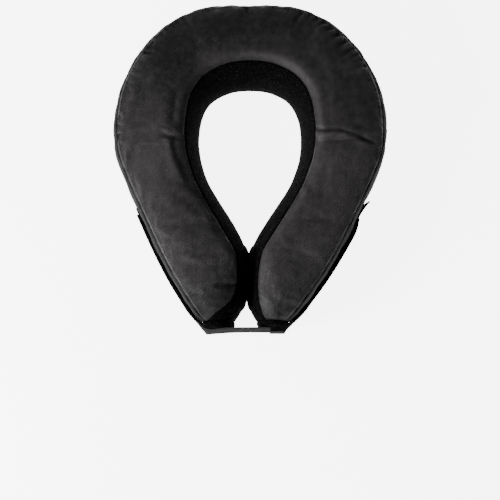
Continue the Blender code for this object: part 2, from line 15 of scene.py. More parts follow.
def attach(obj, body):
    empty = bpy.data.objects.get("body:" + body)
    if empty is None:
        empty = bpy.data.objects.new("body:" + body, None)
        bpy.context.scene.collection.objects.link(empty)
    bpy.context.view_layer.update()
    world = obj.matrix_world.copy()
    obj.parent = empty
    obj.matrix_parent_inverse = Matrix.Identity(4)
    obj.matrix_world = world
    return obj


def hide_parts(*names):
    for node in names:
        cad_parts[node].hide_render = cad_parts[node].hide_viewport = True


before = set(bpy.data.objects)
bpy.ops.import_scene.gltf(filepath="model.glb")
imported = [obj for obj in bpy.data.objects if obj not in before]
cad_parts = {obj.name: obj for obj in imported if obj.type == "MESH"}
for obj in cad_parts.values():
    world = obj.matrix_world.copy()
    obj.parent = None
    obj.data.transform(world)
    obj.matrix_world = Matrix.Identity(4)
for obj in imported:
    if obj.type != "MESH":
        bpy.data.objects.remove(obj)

LOG = logging.getLogger("neck_brace")

Tone = tuple[float, float, float]
Spot = tuple[float, float]
Socket = bpy.types.NodeSocket
Node = bpy.types.Node
Material = bpy.types.Material
Piece = bpy.types.Object
Form = bmesh.types.BMesh

BODY = "root"
COLLAR = ("foam_core", "sole", "outer_band", "top_panel", "neck_lining", "tip_end_left", "tip_end_right")
FOLD_SHADE_AND_WEAR = 120.0  # painted shade in a fold's valley and lighter wear on its ridge: how much a fold changes the cloth's tone, for each metre that it lifts it
PAINTED_LIGHT_AND_WEAR = "painted_light_and_wear"  # the attribute that lightens and darkens the top nylon: painted light and shade, with lighter wear on fold ridges
BACKING_REACH = 0.0024  # a face with collar that near in front of it lies inside the cover
SEAM_REACH = 0.0025  # an edge that near another node lies along it
MERGE = 1e-6  # corners that near each other are one
OFF_FACE = 1e-5  # how far off a face a look out from it starts
LIFT = 0.0001  # how far a stitch stands off its cloth
FLOOR_GAP = 0.0003  # no cloth lies lower than that
DOWN = Vector((0.0, 0.0, -1.0))
UP = Vector((0.0, 0.0, 1.0))


class Graph:
    """Adds nodes to one node tree and joins them."""

    def __init__(self, tree: bpy.types.NodeTree) -> None:
        """Keeps the tree."""
        self.tree = tree

    def give(self, node: Node, inputs: dict) -> Node:
        """Gives a node its inputs.

        Args:
            node: The node.
            inputs: A value, or the socket of another node, for each of its inputs.

        Returns:
            The node.
        """
        for key, value in inputs.items():
            if isinstance(value, Socket):
                self.tree.links.new(value, node.inputs[key])
            else:
                node.inputs[key].default_value = value
        return node

    def add(self, kind: str, inputs: dict | None = None, **settings: object) -> Node:
        """Adds one node.

        Args:
            kind: The node's type.
            inputs: A value or socket for each of its inputs.
            settings: The node's own properties.

        Returns:
            The node.
        """
        node = self.tree.nodes.new(kind)
        for name, value in settings.items():
            setattr(node, name, value)
        return self.give(node, inputs or {})

    def sum(
        self, operation: str, first: object, second: object = 0.0, third: object = None, **more: bool
    ) -> Socket:
        """Adds a Math node.

        Args:
            operation: What it works out.
            first: Its first value or socket.
            second: Its second.
            third: Its third, where it takes one.
            more: The node's own properties.

        Returns:
            Its result.
        """
        inputs = {0: first, 1: second}
        if third is not None:
            inputs[2] = third
        return self.add("ShaderNodeMath", inputs, operation=operation, **more).outputs[0]

    def spread(self, value: object, low: float, high: float, to_low: float, to_high: float) -> Socket:
        """Maps a value from the range low to high to another range, and holds it there."""
        return self.add("ShaderNodeMapRange", {0: value, 1: low, 2: high, 3: to_low, 4: to_high}).outputs[0]

    def blend(self, share: object, first: Tone, second: Tone) -> Socket:
        """Mixes two colours, by how much of the second."""
        inputs = {0: share, 6: (*first, 1.0), 7: (*second, 1.0)}
        return self.add("ShaderNodeMix", inputs, data_type="RGBA").outputs[2]

    def cloud(self, place: object, size: float, detail: float = 3.0, rough: float = 0.55) -> Socket:
        """Adds a noise.

        Args:
            place: The coordinates, in metres.
            size: The size of its features, in metres.
            detail: Its octaves.
            rough: How strong the fine ones are.

        Returns:
            The noise, from 0 to 1.
        """
        inputs = {"Vector": place, "Scale": 1.0 / size, "Detail": detail, "Roughness": rough}
        return self.add("ShaderNodeTexNoise", inputs).outputs["Fac"]

    def bump(self, height: Socket, distance: float, **more: Socket) -> Socket:
        """Gives the normal of a relief of the given height and depth."""
        inputs = {"Height": height, "Distance": distance, "Strength": 1.0, **more}
        return self.add("ShaderNodeBump", inputs).outputs[0]


def new_group(name: str, takes: tuple[str, ...], gives: tuple[str, ...]) -> tuple[Graph, Node]:
    """Starts a node group that takes a place and some sizes, and gives values.

    Args:
        name: The group's name.
        takes: Its sizes' names.
        gives: Its outputs' names.

    Returns:
        A graph to fill it, and the node of its inputs.
    """
    tree = bpy.data.node_groups.new(name, "ShaderNodeTree")
    tree.interface.new_socket("Place", in_out="INPUT", socket_type="NodeSocketVector")
    for label in takes:
        tree.interface.new_socket(label, in_out="INPUT", socket_type="NodeSocketFloat")
    for label in gives:
        tree.interface.new_socket(label, in_out="OUTPUT", socket_type="NodeSocketFloat")
    graph = Graph(tree)
    return graph, graph.add("NodeGroupInput")


class Effects:
    """The node groups that several finishes share."""

    def __init__(self) -> None:
        """Makes the groups."""
        self.weave = self.make_weave()
        self.pile = self.make_pile()
        self.wear = self.make_wear()

    def make_weave(self) -> bpy.types.NodeTree:
        """Makes a plain weave crossed by fine diagonal lines.

        Returns:
            The group: its relief, and how far a thread lies on top.
        """
        graph, given = new_group("woven_threads", ("Pitch", "Lines"), ("Relief", "Line"))
        place = given.outputs["Place"]
        parts = graph.add("ShaderNodeSeparateXYZ", {0: place})
        turn = graph.sum("DIVIDE", math.pi, given.outputs["Pitch"])
        across = graph.sum("SINE", graph.sum("MULTIPLY", parts.outputs[0], turn))
        along = graph.sum("SINE", graph.sum("MULTIPLY", parts.outputs[1], turn))
        over = graph.sum("GREATER_THAN", graph.sum("MULTIPLY", across, along), 0.0)
        warp = graph.sum("MULTIPLY", graph.sum("ABSOLUTE", across), over)
        weft = graph.sum("MULTIPLY", graph.sum("ABSOLUTE", along), graph.sum("SUBTRACT", 1.0, over))
        threads = graph.sum("ADD", warp, weft)
        slant = graph.sum("SUBTRACT", parts.outputs[0], parts.outputs[1])
        slant = graph.sum("MULTIPLY_ADD", graph.cloud(place, 0.012, 2.0), 0.0016, slant)
        period = graph.sum("DIVIDE", math.tau / math.sqrt(2.0), given.outputs["Lines"])
        wave = graph.sum("SINE", graph.sum("MULTIPLY", slant, period))
        broken = graph.spread(graph.cloud(place, 0.006, 2.0), 0.38, 0.62, 0.25, 1.0)
        line = graph.sum("MULTIPLY", graph.sum("MULTIPLY_ADD", wave, 0.5, 0.5), broken)
        relief = graph.sum("MULTIPLY_ADD", line, 0.8, graph.sum("MULTIPLY", threads, 0.45))
        graph.add("NodeGroupOutput", {"Relief": relief, "Line": line})
        return graph.tree

    def make_pile(self) -> bpy.types.NodeTree:
        """Makes a short pile: clumped fibre ends.

        Returns:
            The group: its relief, and where a fibre end catches the light.
        """
        graph, given = new_group("short_pile", ("Size",), ("Relief", "Fleck"))
        scale = graph.sum("DIVIDE", 1.0, given.outputs["Size"])
        clumps = graph.add("ShaderNodeTexVoronoi", {"Vector": given.outputs["Place"], "Scale": scale})
        fine = {"Vector": given.outputs["Place"], "Scale": graph.sum("MULTIPLY", scale, 1.6), "Detail": 4.0}
        fibres = graph.add("ShaderNodeTexNoise", fine).outputs["Fac"]
        height = graph.sum("MULTIPLY", fibres, 1.2)
        relief = graph.sum("MULTIPLY_ADD", clumps.outputs["Distance"], -0.7, height)
        graph.add("NodeGroupOutput", {"Relief": relief, "Fleck": graph.spread(fibres, 0.56, 0.72, 0.0, 1.0)})
        return graph.tree

    def make_wear(self) -> bpy.types.NodeTree:
        """Makes the soft clouding of handled cloth.

        Returns:
            The group: a cloud, and fine streaks in it.
        """
        graph, given = new_group("handled_cloth", ("Size",), ("Cloud", "Streak"))
        scale = graph.sum("DIVIDE", 1.0, given.outputs["Size"])
        broad = {"Vector": given.outputs["Place"], "Scale": scale, "Detail": 4.0, "Roughness": 0.6}
        cloud = graph.spread(graph.add("ShaderNodeTexNoise", broad).outputs["Fac"], 0.3, 0.7, 0.0, 1.0)
        drawn = graph.add("ShaderNodeMapping", {"Vector": given.outputs["Place"], "Scale": (2.4, 0.35, 1.0)})
        fine = {"Vector": drawn.outputs[0], "Scale": graph.sum("MULTIPLY", scale, 5.0), "Detail": 2.0}
        streak = graph.spread(graph.add("ShaderNodeTexNoise", fine).outputs["Fac"], 0.35, 0.65, 0.0, 1.0)
        graph.add("NodeGroupOutput", {"Cloud": cloud, "Streak": streak})
        return graph.tree


class Laid(Enum):
    """What a pattern follows: the piece seen from above or from behind, or its unrolled cloth."""

    IN_PLACE = "Object"
    ON_CLOTH = "UV"
    UPRIGHT = "Upright"


def pattern_place(graph: Graph, laid: Laid) -> Socket:
    """Gives the coordinates that a pattern follows, in metres.

    Args:
        graph: The material's graph.
        laid: What the pattern follows.

    Returns:
        The coordinates.
    """
    source = graph.add("ShaderNodeTexCoord")
    if laid is not Laid.UPRIGHT:
        return source.outputs[laid.value]
    turn = {"Vector": source.outputs["Object"], "Rotation": (-math.pi / 2, 0.0, 0.0)}
    return graph.add("ShaderNodeMapping", turn).outputs[0]


def start_material(name: str) -> tuple[Material, Graph, Node]:
    """Starts a material.

    Args:
        name: Its name.

    Returns:
        The material, a graph to fill it and its shader.
    """
    made = bpy.data.materials.new(name)
    made.use_nodes = True
    return made, Graph(made.node_tree), made.node_tree.nodes["Principled BSDF"]


@dataclass(frozen=True)
class Finish:
    """A finish between a dark tone and a light one."""

    name: str
    dark: Tone
    light: Tone

    def make(self, effects: Effects) -> Material:
        """Builds the material.

        Args:
            effects: The shared node groups.

        Returns:
            The material.
        """
        made, graph, shader = start_material(self.name)
        graph.give(shader, self.fill(graph, effects))
        return made

    def fill(self, graph: Graph, effects: Effects) -> dict:
        """Adds the finish's nodes.

        Args:
            graph: The material's graph.
            effects: The shared node groups.

        Returns:
            What its shader takes.
        """
        raise NotImplementedError


@dataclass(frozen=True)
class Nylon(Finish):
    """Woven nylon: fine diagonal lines, a low sheen and soft clouding."""

    roughness: float
    sheen: float
    laid: Laid = Laid.IN_PLACE
    pitch: float = 0.0008
    lines: float = 0.0021
    relief: float = 0.00022
    crumple: float = 0.00045
    ior: float = 1.36
    gloss: float = 0.5
    thread_share: float = 0.42
    cloud_share: float = 0.20
    streak_share: float = 0.10
    cloud_size: float = 0.03
    fold_size: float = 0.009

    def fill(self, graph: Graph, effects: Effects) -> dict:
        """Adds the weave, the clouding, and the painted light and shade and wear that the panel's attribute
        carries.

        Args:
            graph: The material's graph.
            effects: The shared node groups.

        Returns:
            What its shader takes.
        """
        place = pattern_place(graph, self.laid)
        threads = {"Place": place, "Pitch": self.pitch, "Lines": self.lines}
        weave = graph.add("ShaderNodeGroup", threads, node_tree=effects.weave)
        wear = graph.add("ShaderNodeGroup", {"Place": place, "Size": self.cloud_size}, node_tree=effects.wear)
        share = graph.sum("MULTIPLY", wear.outputs["Cloud"], self.cloud_share)
        share = graph.sum("MULTIPLY_ADD", weave.outputs["Line"], self.thread_share, share)
        share = graph.sum("MULTIPLY_ADD", wear.outputs["Streak"], self.streak_share, share)
        # The panel's attribute adds painted light and shade: lighter patches where the key light falls, a
        # painted rim highlight, painted shade in fold valleys.
        painted_light_and_wear = graph.add("ShaderNodeAttribute", attribute_name=PAINTED_LIGHT_AND_WEAR).outputs["Fac"]
        share = graph.sum("ADD", share, painted_light_and_wear, use_clamp=True)
        soft = graph.bump(graph.cloud(place, self.fold_size, 3.0, 0.6), self.crumple)
        return {
            "Base Color": graph.blend(share, self.dark, self.light),
            "Roughness": graph.spread(share, 0.0, 1.0, self.roughness + 0.08, self.roughness - 0.06),
            "Normal": graph.bump(weave.outputs["Relief"], self.relief, Normal=soft),
            "Sheen Weight": self.sheen,
            "Sheen Roughness": 0.45,
            "Specular IOR Level": self.gloss,
            "IOR": self.ior,
        }


@dataclass(frozen=True)
class Piled(Finish):
    """A finish of clumped fibres, some of which catch the light."""

    def lay_pile(self, graph: Graph, effects: Effects, size: float, cloud: float) -> tuple[Node, Socket]:
        """Adds the pile and its clouding.

        Args:
            graph: The material's graph.
            effects: The shared node groups.
            size: The size of its clumps.
            cloud: The size of its clouds.

        Returns:
            The pile's node, and the cloud.
        """
        place = graph.add("ShaderNodeTexCoord").outputs["Object"]
        pile = graph.add("ShaderNodeGroup", {"Place": place, "Size": size}, node_tree=effects.pile)
        wear = graph.add("ShaderNodeGroup", {"Place": place, "Size": cloud}, node_tree=effects.wear)
        return pile, wear.outputs["Cloud"]


@dataclass(frozen=True)
class Fleece(Piled):
    """Brushed fleece or hook-and-loop pile: clumped fibres with flecks of light."""

    size: float
    relief: float

    def fill(self, graph: Graph, effects: Effects) -> dict:
        """Adds the pile, lighter in clouds.

        Args:
            graph: The material's graph.
            effects: The shared node groups.

        Returns:
            What its shader takes.
        """
        pile, cloud = self.lay_pile(graph, effects, self.size, 0.018)
        share = graph.sum("MULTIPLY", pile.outputs["Fleck"], graph.spread(cloud, 0.0, 1.0, 0.35, 1.0))
        return {
            "Base Color": graph.blend(share, self.dark, self.light),
            "Normal": graph.bump(pile.outputs["Relief"], self.relief),
            "Roughness": graph.spread(share, 0.0, 1.0, 0.95, 0.8),
            "Specular IOR Level": 0.2,
            "IOR": 1.2,
        }


@dataclass(frozen=True)
class Thread(Piled):
    """Sewing or embroidery thread: twisted strands with a soft gloss."""

    roughness: float
    twist: float = 0.0005
    gloss: float = 0.5

    def fill(self, graph: Graph, effects: Effects) -> dict:
        """Adds the strands.

        Args:
            graph: The material's graph.
            effects: The shared node groups.

        Returns:
            What its shader takes.
        """
        pile, cloud = self.lay_pile(graph, effects, self.twist, 0.004)
        share = graph.sum("MULTIPLY_ADD", pile.outputs["Fleck"], 0.45, graph.sum("MULTIPLY", cloud, 0.55))
        return {
            "Base Color": graph.blend(share, self.dark, self.light),
            "Normal": graph.bump(pile.outputs["Relief"], 0.0001),
            "Roughness": graph.spread(share, 0.0, 1.0, self.roughness + 0.1, self.roughness - 0.05),
            "Specular IOR Level": self.gloss,
        }


@dataclass(frozen=True)
class Foam(Finish):
    """Open-celled foam."""

    cell: float

    def fill(self, graph: Graph, effects: Effects) -> dict:
        """Adds the cells.

        Args:
            graph: The material's graph.
            effects: The shared node groups.

        Returns:
            What its shader takes.
        """
        place = graph.add("ShaderNodeTexCoord").outputs["Object"]
        pile = graph.add("ShaderNodeGroup", {"Place": place, "Size": self.cell}, node_tree=effects.pile)
        return {
            "Base Color": graph.blend(pile.outputs["Fleck"], self.dark, self.light),
            "Normal": graph.bump(pile.outputs["Relief"], 0.0004),
            "Roughness": graph.spread(pile.outputs["Relief"], 0.0, 1.0, 0.98, 0.85),
        }


def tree_of(*meshes: bpy.types.Mesh) -> BVHTree:
    """Gives a search tree of several meshes.

    Args:
        meshes: The meshes.

    Returns:
        The tree.
    """
    corners, faces = [], []
    for mesh in meshes:
        base = len(corners)
        corners.extend(vertex.co.copy() for vertex in mesh.vertices)
        faces.extend([base + index for index in face.vertices] for face in mesh.polygons)
    return BVHTree.FromPolygons(corners, faces)


def mesh_of(node: str) -> bpy.types.Mesh:
    """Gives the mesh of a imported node."""
    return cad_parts[node].data


def rows_of(mesh: bpy.types.Mesh, kind: str = "co") -> np.ndarray:
    """Gives a mesh's vertex positions, or their normals, as rows.

    Args:
        mesh: The mesh.
        kind: "co" for the positions, or "normal".

    Returns:
        The rows.
    """
    flat = np.empty(len(mesh.vertices) * 3)
    mesh.vertices.foreach_get(kind, flat)
    return flat.reshape(-1, 3)


def set_positions(mesh: bpy.types.Mesh, places: np.ndarray) -> None:
    """Moves a mesh's vertices."""
    mesh.vertices.foreach_set("co", np.ascontiguousarray(places).ravel())
    mesh.update()


def new_piece(name: str, form: Form) -> Piece:
    """Puts a form into the scene as a piece, and frees it.

    Args:
        name: The piece's name.
        form: Its form.

    Returns:
        The piece.
    """
    mesh = bpy.data.meshes.new(name)
    form.to_mesh(mesh)
    form.free()
    piece = bpy.data.objects.new(name, mesh)
    bpy.context.scene.collection.objects.link(piece)
    return piece


def finish_piece(piece: Piece, slot: str, *materials: Material) -> None:
    """Gives a new piece its finishes and lets it ride on the brace.

    Args:
        piece: The piece.
        slot: Not used.
        materials: Its finishes.
    """
    piece.data.materials.clear()
    for material in materials:
        piece.data.materials.append(material)
    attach(piece, BODY)
    LOG.info("%s: %d faces", piece.name, len(piece.data.polygons))


def smooth(piece: Piece) -> None:
    """Shades a piece smooth."""
    for face in piece.data.polygons:
        face.use_smooth = True


def apply_modifiers(piece: Piece) -> None:
    """Makes what a piece's modifiers give its own mesh.

    Args:
        piece: The piece.
    """
    graph = bpy.context.evaluated_depsgraph_get()
    graph.update()
    shaped = bpy.data.meshes.new_from_object(piece.evaluated_get(graph))
    piece.modifiers.clear()
    old = piece.data
    piece.data = shaped
    bpy.data.meshes.remove(old)


def subdivide(piece: Piece, levels: int) -> None:
    """Rounds a piece and makes its mesh finer, holding it to the form it had.

    Args:
        piece: The piece.
        levels: How many times each face is divided.
    """
    cage = rows_of(piece.data)
    trial = piece.copy()
    trial.data = piece.data.copy()
    bpy.context.scene.collection.objects.link(trial)
    trial.modifiers.new("round", "SUBSURF").levels = levels
    apply_modifiers(trial)
    set_positions(piece.data, 2.0 * cage - rows_of(trial.data)[: len(cage)])
    bpy.data.objects.remove(trial)
    rounding = piece.modifiers.new("round", "SUBSURF")
    rounding.levels = rounding.render_levels = levels
    apply_modifiers(piece)


def merged(node: str) -> Form:
    """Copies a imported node's mesh with its double corners merged.

    Args:
        node: The node.

    Returns:
        The copy.
    """
    form = bmesh.new()
    form.from_mesh(mesh_of(node))
    bmesh.ops.remove_doubles(form, verts=form.verts, dist=MERGE)
    return form


def pair_triangles(form: Form, bend: float) -> None:
    """Joins triangles into four-sided faces where they meet at less than a bend, in degrees."""
    limits = {"angle_face_threshold": math.radians(bend), "angle_shape_threshold": math.radians(150)}
    bmesh.ops.join_triangles(form, faces=form.faces, **limits)


def outer_face(node: str) -> Form:
    """Copies a collar node and keeps the side of its cloth that shows.

    Args:
        node: The node.

    Returns:
        The open sheet, of four-sided faces where its triangles pair up.
    """
    backing = tree_of(*(mesh_of(name) for name in COLLAR if name != node))
    sheet = merged(node)
    hidden = []
    for face in sheet.faces:
        start = face.calc_center_median() + face.normal * OFF_FACE
        if backing.ray_cast(start, face.normal, BACKING_REACH)[0] is not None:
            hidden.append(face)
    bmesh.ops.delete(sheet, geom=hidden, context="FACES")
    islands = sorted(islands_of(sheet), key=len)
    stray = [vertex for island in islands[:-1] for vertex in island]
    bmesh.ops.delete(sheet, geom=stray, context="VERTS")
    pair_triangles(sheet, 50.0)
    return sheet


def islands_of(form: Form) -> list[list[bmesh.types.BMVert]]:
    """Gives the vertices of each joined part of a form.

    Args:
        form: The form.

    Returns:
        A list for each part.
    """
    left = set(form.verts)
    islands = []
    while left:
        stack = [left.pop()]
        island = []
        while stack:
            vertex = stack.pop()
            island.append(vertex)
            for edge in vertex.link_edges:
                other = edge.other_vert(vertex)
                if other in left:
                    left.remove(other)
                    stack.append(other)
        islands.append(island)
    return islands


class Line:
    """A run of straight steps between points, with the distance along it."""

    def __init__(self, points: np.ndarray) -> None:
        """Keeps the points, rows of two or three numbers."""
        self.points = np.asarray(points, dtype=float)
        self.lengths = np.linalg.norm(np.diff(self.points, axis=0), axis=1)
        self.marks = np.concatenate(([0.0], np.cumsum(self.lengths)))

    def at(self, mark: float) -> Vector:
        """Gives the point at a distance along the line."""
        return Vector([np.interp(mark, self.marks, column) for column in self.points.T])

    def measure(self, places: np.ndarray) -> tuple[np.ndarray, np.ndarray, np.ndarray]:
        """Finds the nearest point of the line for each place.

        Args:
            places: The places, as rows.

        Returns:
            The distance along the line, the distance from it, and the side, from a plan view, as +1 or -1.
        """
        best = np.full(len(places), np.inf)
        along = np.zeros(len(places))
        side = np.ones(len(places))
        for index, length in enumerate(self.lengths):
            if length <= 0.0:
                continue
            start = self.points[index]
            run = (self.points[index + 1] - start) / length
            offset = places - start
            share = np.clip(offset @ run, 0.0, length)
            gap = offset - share[:, None] * run
            distance = np.linalg.norm(gap, axis=1)
            nearer = distance < best
            best[nearer] = distance[nearer]
            along[nearer] = self.marks[index] + share[nearer]
            cross = run[0] * gap[:, 1] - run[1] * gap[:, 0]
            side[nearer] = np.where(cross[nearer] >= 0.0, 1.0, -1.0)
        return along, best, side


@dataclass(frozen=True)
class Fold:
    """A crease in the cloth: a valley along a line, with a ridge beside it."""

    path: tuple[Spot, ...]
    depth: float
    width: float
    ridge: float = 0.0
    ridge_width: float = 0.004
    ridge_side: int = 1
    fade_in: float = 0.006
    fade_out: float = 0.010

    def height(self, places: np.ndarray) -> np.ndarray:
        """Works out how far the fold lifts each place.

        Args:
            places: Places on the unrolled cloth, in metres, as rows of two.

        Returns:
            The heights, below nought in the valley.
        """
        path = smooth_path(self.path)
        reach = 3.0 * (self.width + self.ridge_width)
        near = np.all((places > path.min(axis=0) - reach) & (places < path.max(axis=0) + reach), axis=1)
        risen = np.zeros(len(places))
        if near.any():
            risen[near] = self.height_near(Line(path), places[near])
        return risen

    def height_near(self, line: Line, places: np.ndarray) -> np.ndarray:
        """Works out how far the fold, along its line, lifts each place near it.

        Args:
            line: The fold's line.
            places: Places on the unrolled cloth.

        Returns:
            The heights.
        """
        along, off, side = line.measure(places)
        length = line.marks[-1]
        fade = np.clip(along / self.fade_in, 0.0, 1.0) * np.clip((length - along) / self.fade_out, 0.0, 1.0)
        fade = fade * fade * (3.0 - 2.0 * fade)
        signed = off * side * self.ridge_side
        valley = -self.depth * np.exp(-((off / self.width) ** 2))
        offset = self.width + 0.6 * self.ridge_width
        ridge = self.ridge * np.exp(-(((signed - offset) / self.ridge_width) ** 2))
        return fade * (valley + ridge)


def smooth_path(path: tuple[Spot, ...], steps: int = 4) -> np.ndarray:
    """Rounds a path through its points.

    Args:
        path: The points.
        steps: How many steps each stretch gets.

    Returns:
        The rounded path's points, as rows.
    """
    points = np.array(path, dtype=float)
    if len(points) < 3:
        return points
    held = np.vstack((2 * points[0] - points[1], points, 2 * points[-1] - points[-2]))
    made = []
    for index in range(1, len(held) - 2):
        before, start, end, after = held[index - 1 : index + 3]
        square = 2 * before - 5 * start + 4 * end - after
        cube = 3 * start - before - 3 * end + after
        for share in (step / steps for step in range(steps)):
            made.append(0.5 * (2 * start + (end - before) * share + square * share**2 + cube * share**3))
    return np.array([*made, points[-1]])


TOP_FOLDS = (
    # The rolled margin's edge on -X, from the nape forward.
    Fold(
        ((-0.042, 0.103), (-0.053, 0.097), (-0.064, 0.084), (-0.070, 0.075)),
        0.0003, 0.003, 0.0005, 0.004, 1,
    ),
    Fold(
        ((-0.070, 0.075), (-0.074, 0.064), (-0.076, 0.047), (-0.076, 0.035)),
        0.0009, 0.003, 0.0005, 0.004, 1, 0.010,
    ),
    Fold(
        ((-0.090, 0.032), (-0.084, 0.033), (-0.077, 0.030), (-0.073, 0.025)),
        0.0009, 0.0022, 0.0003, 0.003, -1,
    ),
    Fold(
        ((-0.076, 0.027), (-0.075, 0.015), (-0.072, 0.004), (-0.066, -0.009),
         (-0.061, -0.020), (-0.056, -0.027)),
        0.0013, 0.0032, 0.0008, 0.004, -1, 0.006, 0.012,
    ),
    Fold(
        ((-0.082, -0.021), (-0.071, -0.024), (-0.061, -0.027), (-0.054, -0.031)),
        0.0013, 0.0022, 0.0010, 0.004, -1,
    ),
    Fold(
        ((-0.057, -0.028), (-0.049, -0.037), (-0.041, -0.049), (-0.034, -0.060)),
        0.0009, 0.003, 0.0007, 0.004, -1,
    ),
    Fold(((-0.112, 0.022), (-0.104, 0.022)), 0.0010, 0.0014),
    # The long crease right across the pad on +X, and the slack beside it.
    Fold(
        ((0.062, 0.034), (0.068, 0.033), (0.075, 0.031), (0.086, 0.031), (0.097, 0.028),
         (0.108, 0.024), (0.118, 0.019), (0.129, 0.015)),
        0.0018, 0.0022, 0.0009, 0.004, -1, 0.004, 0.008,
    ),
    Fold(((0.100, 0.037), (0.112, 0.033), (0.124, 0.031)), 0.0006, 0.003, 0.0008, 0.004, 1),
    Fold(
        ((0.054, -0.022), (0.058, -0.026), (0.061, -0.034)),
        0.0018, 0.0028, 0.0008, 0.003, -1, 0.003, 0.004,
    ),
    Fold(
        ((0.072, 0.022), (0.070, 0.004), (0.064, -0.012), (0.057, -0.024)),
        0.0007, 0.003, 0.0007, 0.004, -1, 0.010,
    ),
    # The sharp nick in the tip on -X, and small ones on +X.
    Fold(
        ((-0.038, -0.1255), (-0.030, -0.125), (-0.021, -0.1245), (-0.011, -0.1245)),
        0.0030, 0.0018, 0.0008, 0.003, 1, 0.008, 0.002,
    ),
    Fold(((0.004, -0.127), (0.009, -0.130), (0.014, -0.133)), 0.0008, 0.0012, 0.0004, 0.002, 1, 0.002, 0.004),
    Fold(((0.006, -0.135), (0.012, -0.139), (0.017, -0.141)), 0.0009, 0.0014, 0.0004, 0.002, 1, 0.002, 0.004),
    # The pucker at the middle of the nape's top edge.
    Fold(((-0.002, 0.160), (-0.003, 0.154), (-0.001, 0.149)), 0.0014, 0.0016, 0.0006, 0.003, 1, 0.002, 0.005),
)


@dataclass(frozen=True)
class PaintedLightSpot:
    """A patch of painted light or painted shade on the top panel, lighter or darker in plan."""

    spot: Spot
    reach: Spot
    amount: float

    def at(self, places: np.ndarray) -> np.ndarray:
        """Gives how much it changes each place, in plan."""
        off = (places[:, :2] - np.array(self.spot)) / np.array(self.reach)
        return self.amount * np.exp(-np.sum(off**2, axis=1))


# Painted light and shade: lighter patches on the sides and front, painted shade at the back and on the tips'
# ends.
PAINTED_LIGHT_SPOTS = (
    PaintedLightSpot((-0.088, 0.000), (0.030, 0.050), 0.46),
    PaintedLightSpot((-0.078, -0.085), (0.028, 0.034), 0.22),
    PaintedLightSpot((0.088, -0.020), (0.032, 0.045), 0.32),
    PaintedLightSpot((0.060, -0.085), (0.026, 0.030), 0.16),
    PaintedLightSpot((-0.025, -0.100), (0.016, 0.022), 0.12),
    PaintedLightSpot((0.030, -0.115), (0.030, 0.030), 0.14),
    PaintedLightSpot((0.000, 0.138), (0.080, 0.024), -0.30),
    PaintedLightSpot((0.105, 0.065), (0.030, 0.035), -0.12),
    PaintedLightSpot((-0.078, 0.105), (0.034, 0.030), -0.36),
    PaintedLightSpot((-0.043, 0.104), (0.016, 0.012), 0.34),
    PaintedLightSpot((-0.066, 0.000), (0.008, 0.035), -0.22),
    PaintedLightSpot((-0.040, -0.154), (0.034, 0.018), -0.48),
    PaintedLightSpot((0.040, -0.164), (0.036, 0.016), -0.50),
)


@dataclass(frozen=True)
class PaintedRimHighlight:
    """A painted highlight: the smooth, light stripe where the top panel rolls over into the neck opening."""

    inset: float = 0.0050
    width: float = 0.0032
    amount: float = 0.42
    strong_from: Spot = (-0.055, 0.010)  # from there to there, in x, the stripe grows to its full strength
    fade_front: Spot = (-0.110, 0.000)  # and in y, forward to back
    faint: Spot = (0.10, 0.25)  # its least strength, sideways and forward

    def at(self, places: np.ndarray, rim: np.ndarray) -> np.ndarray:
        """Works out how much painted highlight the stripe puts on each place.

        Args:
            places: The places, as rows.
            rim: The rim seam's points.

        Returns:
            The painted highlight.
        """
        off = Line(rim[:, :2]).measure(places[:, :2])[1]
        stripe = np.exp(-(((off - self.inset) / self.width) ** 2))
        sideways = np.interp(places[:, 0], self.strong_from, (self.faint[0], 1.0))
        forward = np.interp(places[:, 1], self.fade_front, (self.faint[1], 1.0))
        return self.amount * stripe * sideways * forward


@dataclass(frozen=True)
class Ironed:
    """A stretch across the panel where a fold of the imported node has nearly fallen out."""

    back: float = 0.047
    front: float = 0.016
    gone_from: float = -0.090
    kept_from: float = -0.081
    left: float = 0.12
    above: float = 0.070  # only the panel's upper side is drawn level
    sky: float = 0.2

    def flatten(self, places: np.ndarray, sheet: BVHTree) -> np.ndarray:
        """Draws the stretch nearly level between its two edges.

        Args:
            places: The panel's places, as rows.
            sheet: The panel's search tree.

        Returns:
            How far each place rises.
        """
        rise = np.zeros(len(places))
        inside = (places[:, 0] < self.kept_from) & (places[:, 1] > self.front) & (places[:, 1] < self.back)
        for index in np.nonzero(inside)[0]:
            x, y, z = places[index]
            ends = [sheet.ray_cast(Vector((x, edge, self.sky)), DOWN)[0] for edge in (self.front, self.back)]
            if None in ends or z < self.above:
                continue
            share = (y - self.front) / (self.back - self.front)
            level = ends[0].z + (ends[1].z - ends[0].z) * share
            weight = float(np.interp(x, (self.gone_from, self.kept_from), (1.0, 0.0)))
            weight *= min(1.0, min(share, 1.0 - share) / 0.12)
            rise[index] = (1.0 - self.left) * weight * (level - z)
        return rise


@dataclass(frozen=True)
class Gather:
    """A row of short folds that run in from the top edge seam, where the cloth was eased into it."""

    start: float
    end: float
    count: int
    length: float
    depth: float
    width: float
    turn: float = 0.0  # degrees off square to the seam

    def folds(self, seams: "Seams") -> tuple[Fold, ...]:
        """Makes the row's folds.

        Args:
            seams: Where the panels meet.

        Returns:
            The folds.
        """
        made = []
        for index in range(self.count):
            drift = math.sin(12.9 * index + 78.2 * self.start)
            share = (index + 0.5) / self.count
            at = self.start + (self.end - self.start) * (share + 0.22 * drift / self.count)
            point, inward = seams.top_edge_at(at)
            swing = math.radians(self.turn + 9.0 * math.sin(5.3 * index + 1.7))
            turned = Matrix.Rotation(swing, 2) @ inward
            reach = self.length * (0.72 + 0.28 * math.sin(7.1 * index + 0.6))
            bent = turned.orthogonal() * (0.05 * reach * drift)
            path = (point + turned * 0.001, point + turned * (0.5 * reach) + bent, point + turned * reach)
            depth = self.depth * (0.75 + 0.25 * drift)
            form = (depth, self.width, 0.6 * depth, 1.3 * self.width, 1, 0.002, 0.7 * reach)
            made.append(Fold(tuple(tuple(spot) for spot in path), *form))
        return tuple(made)


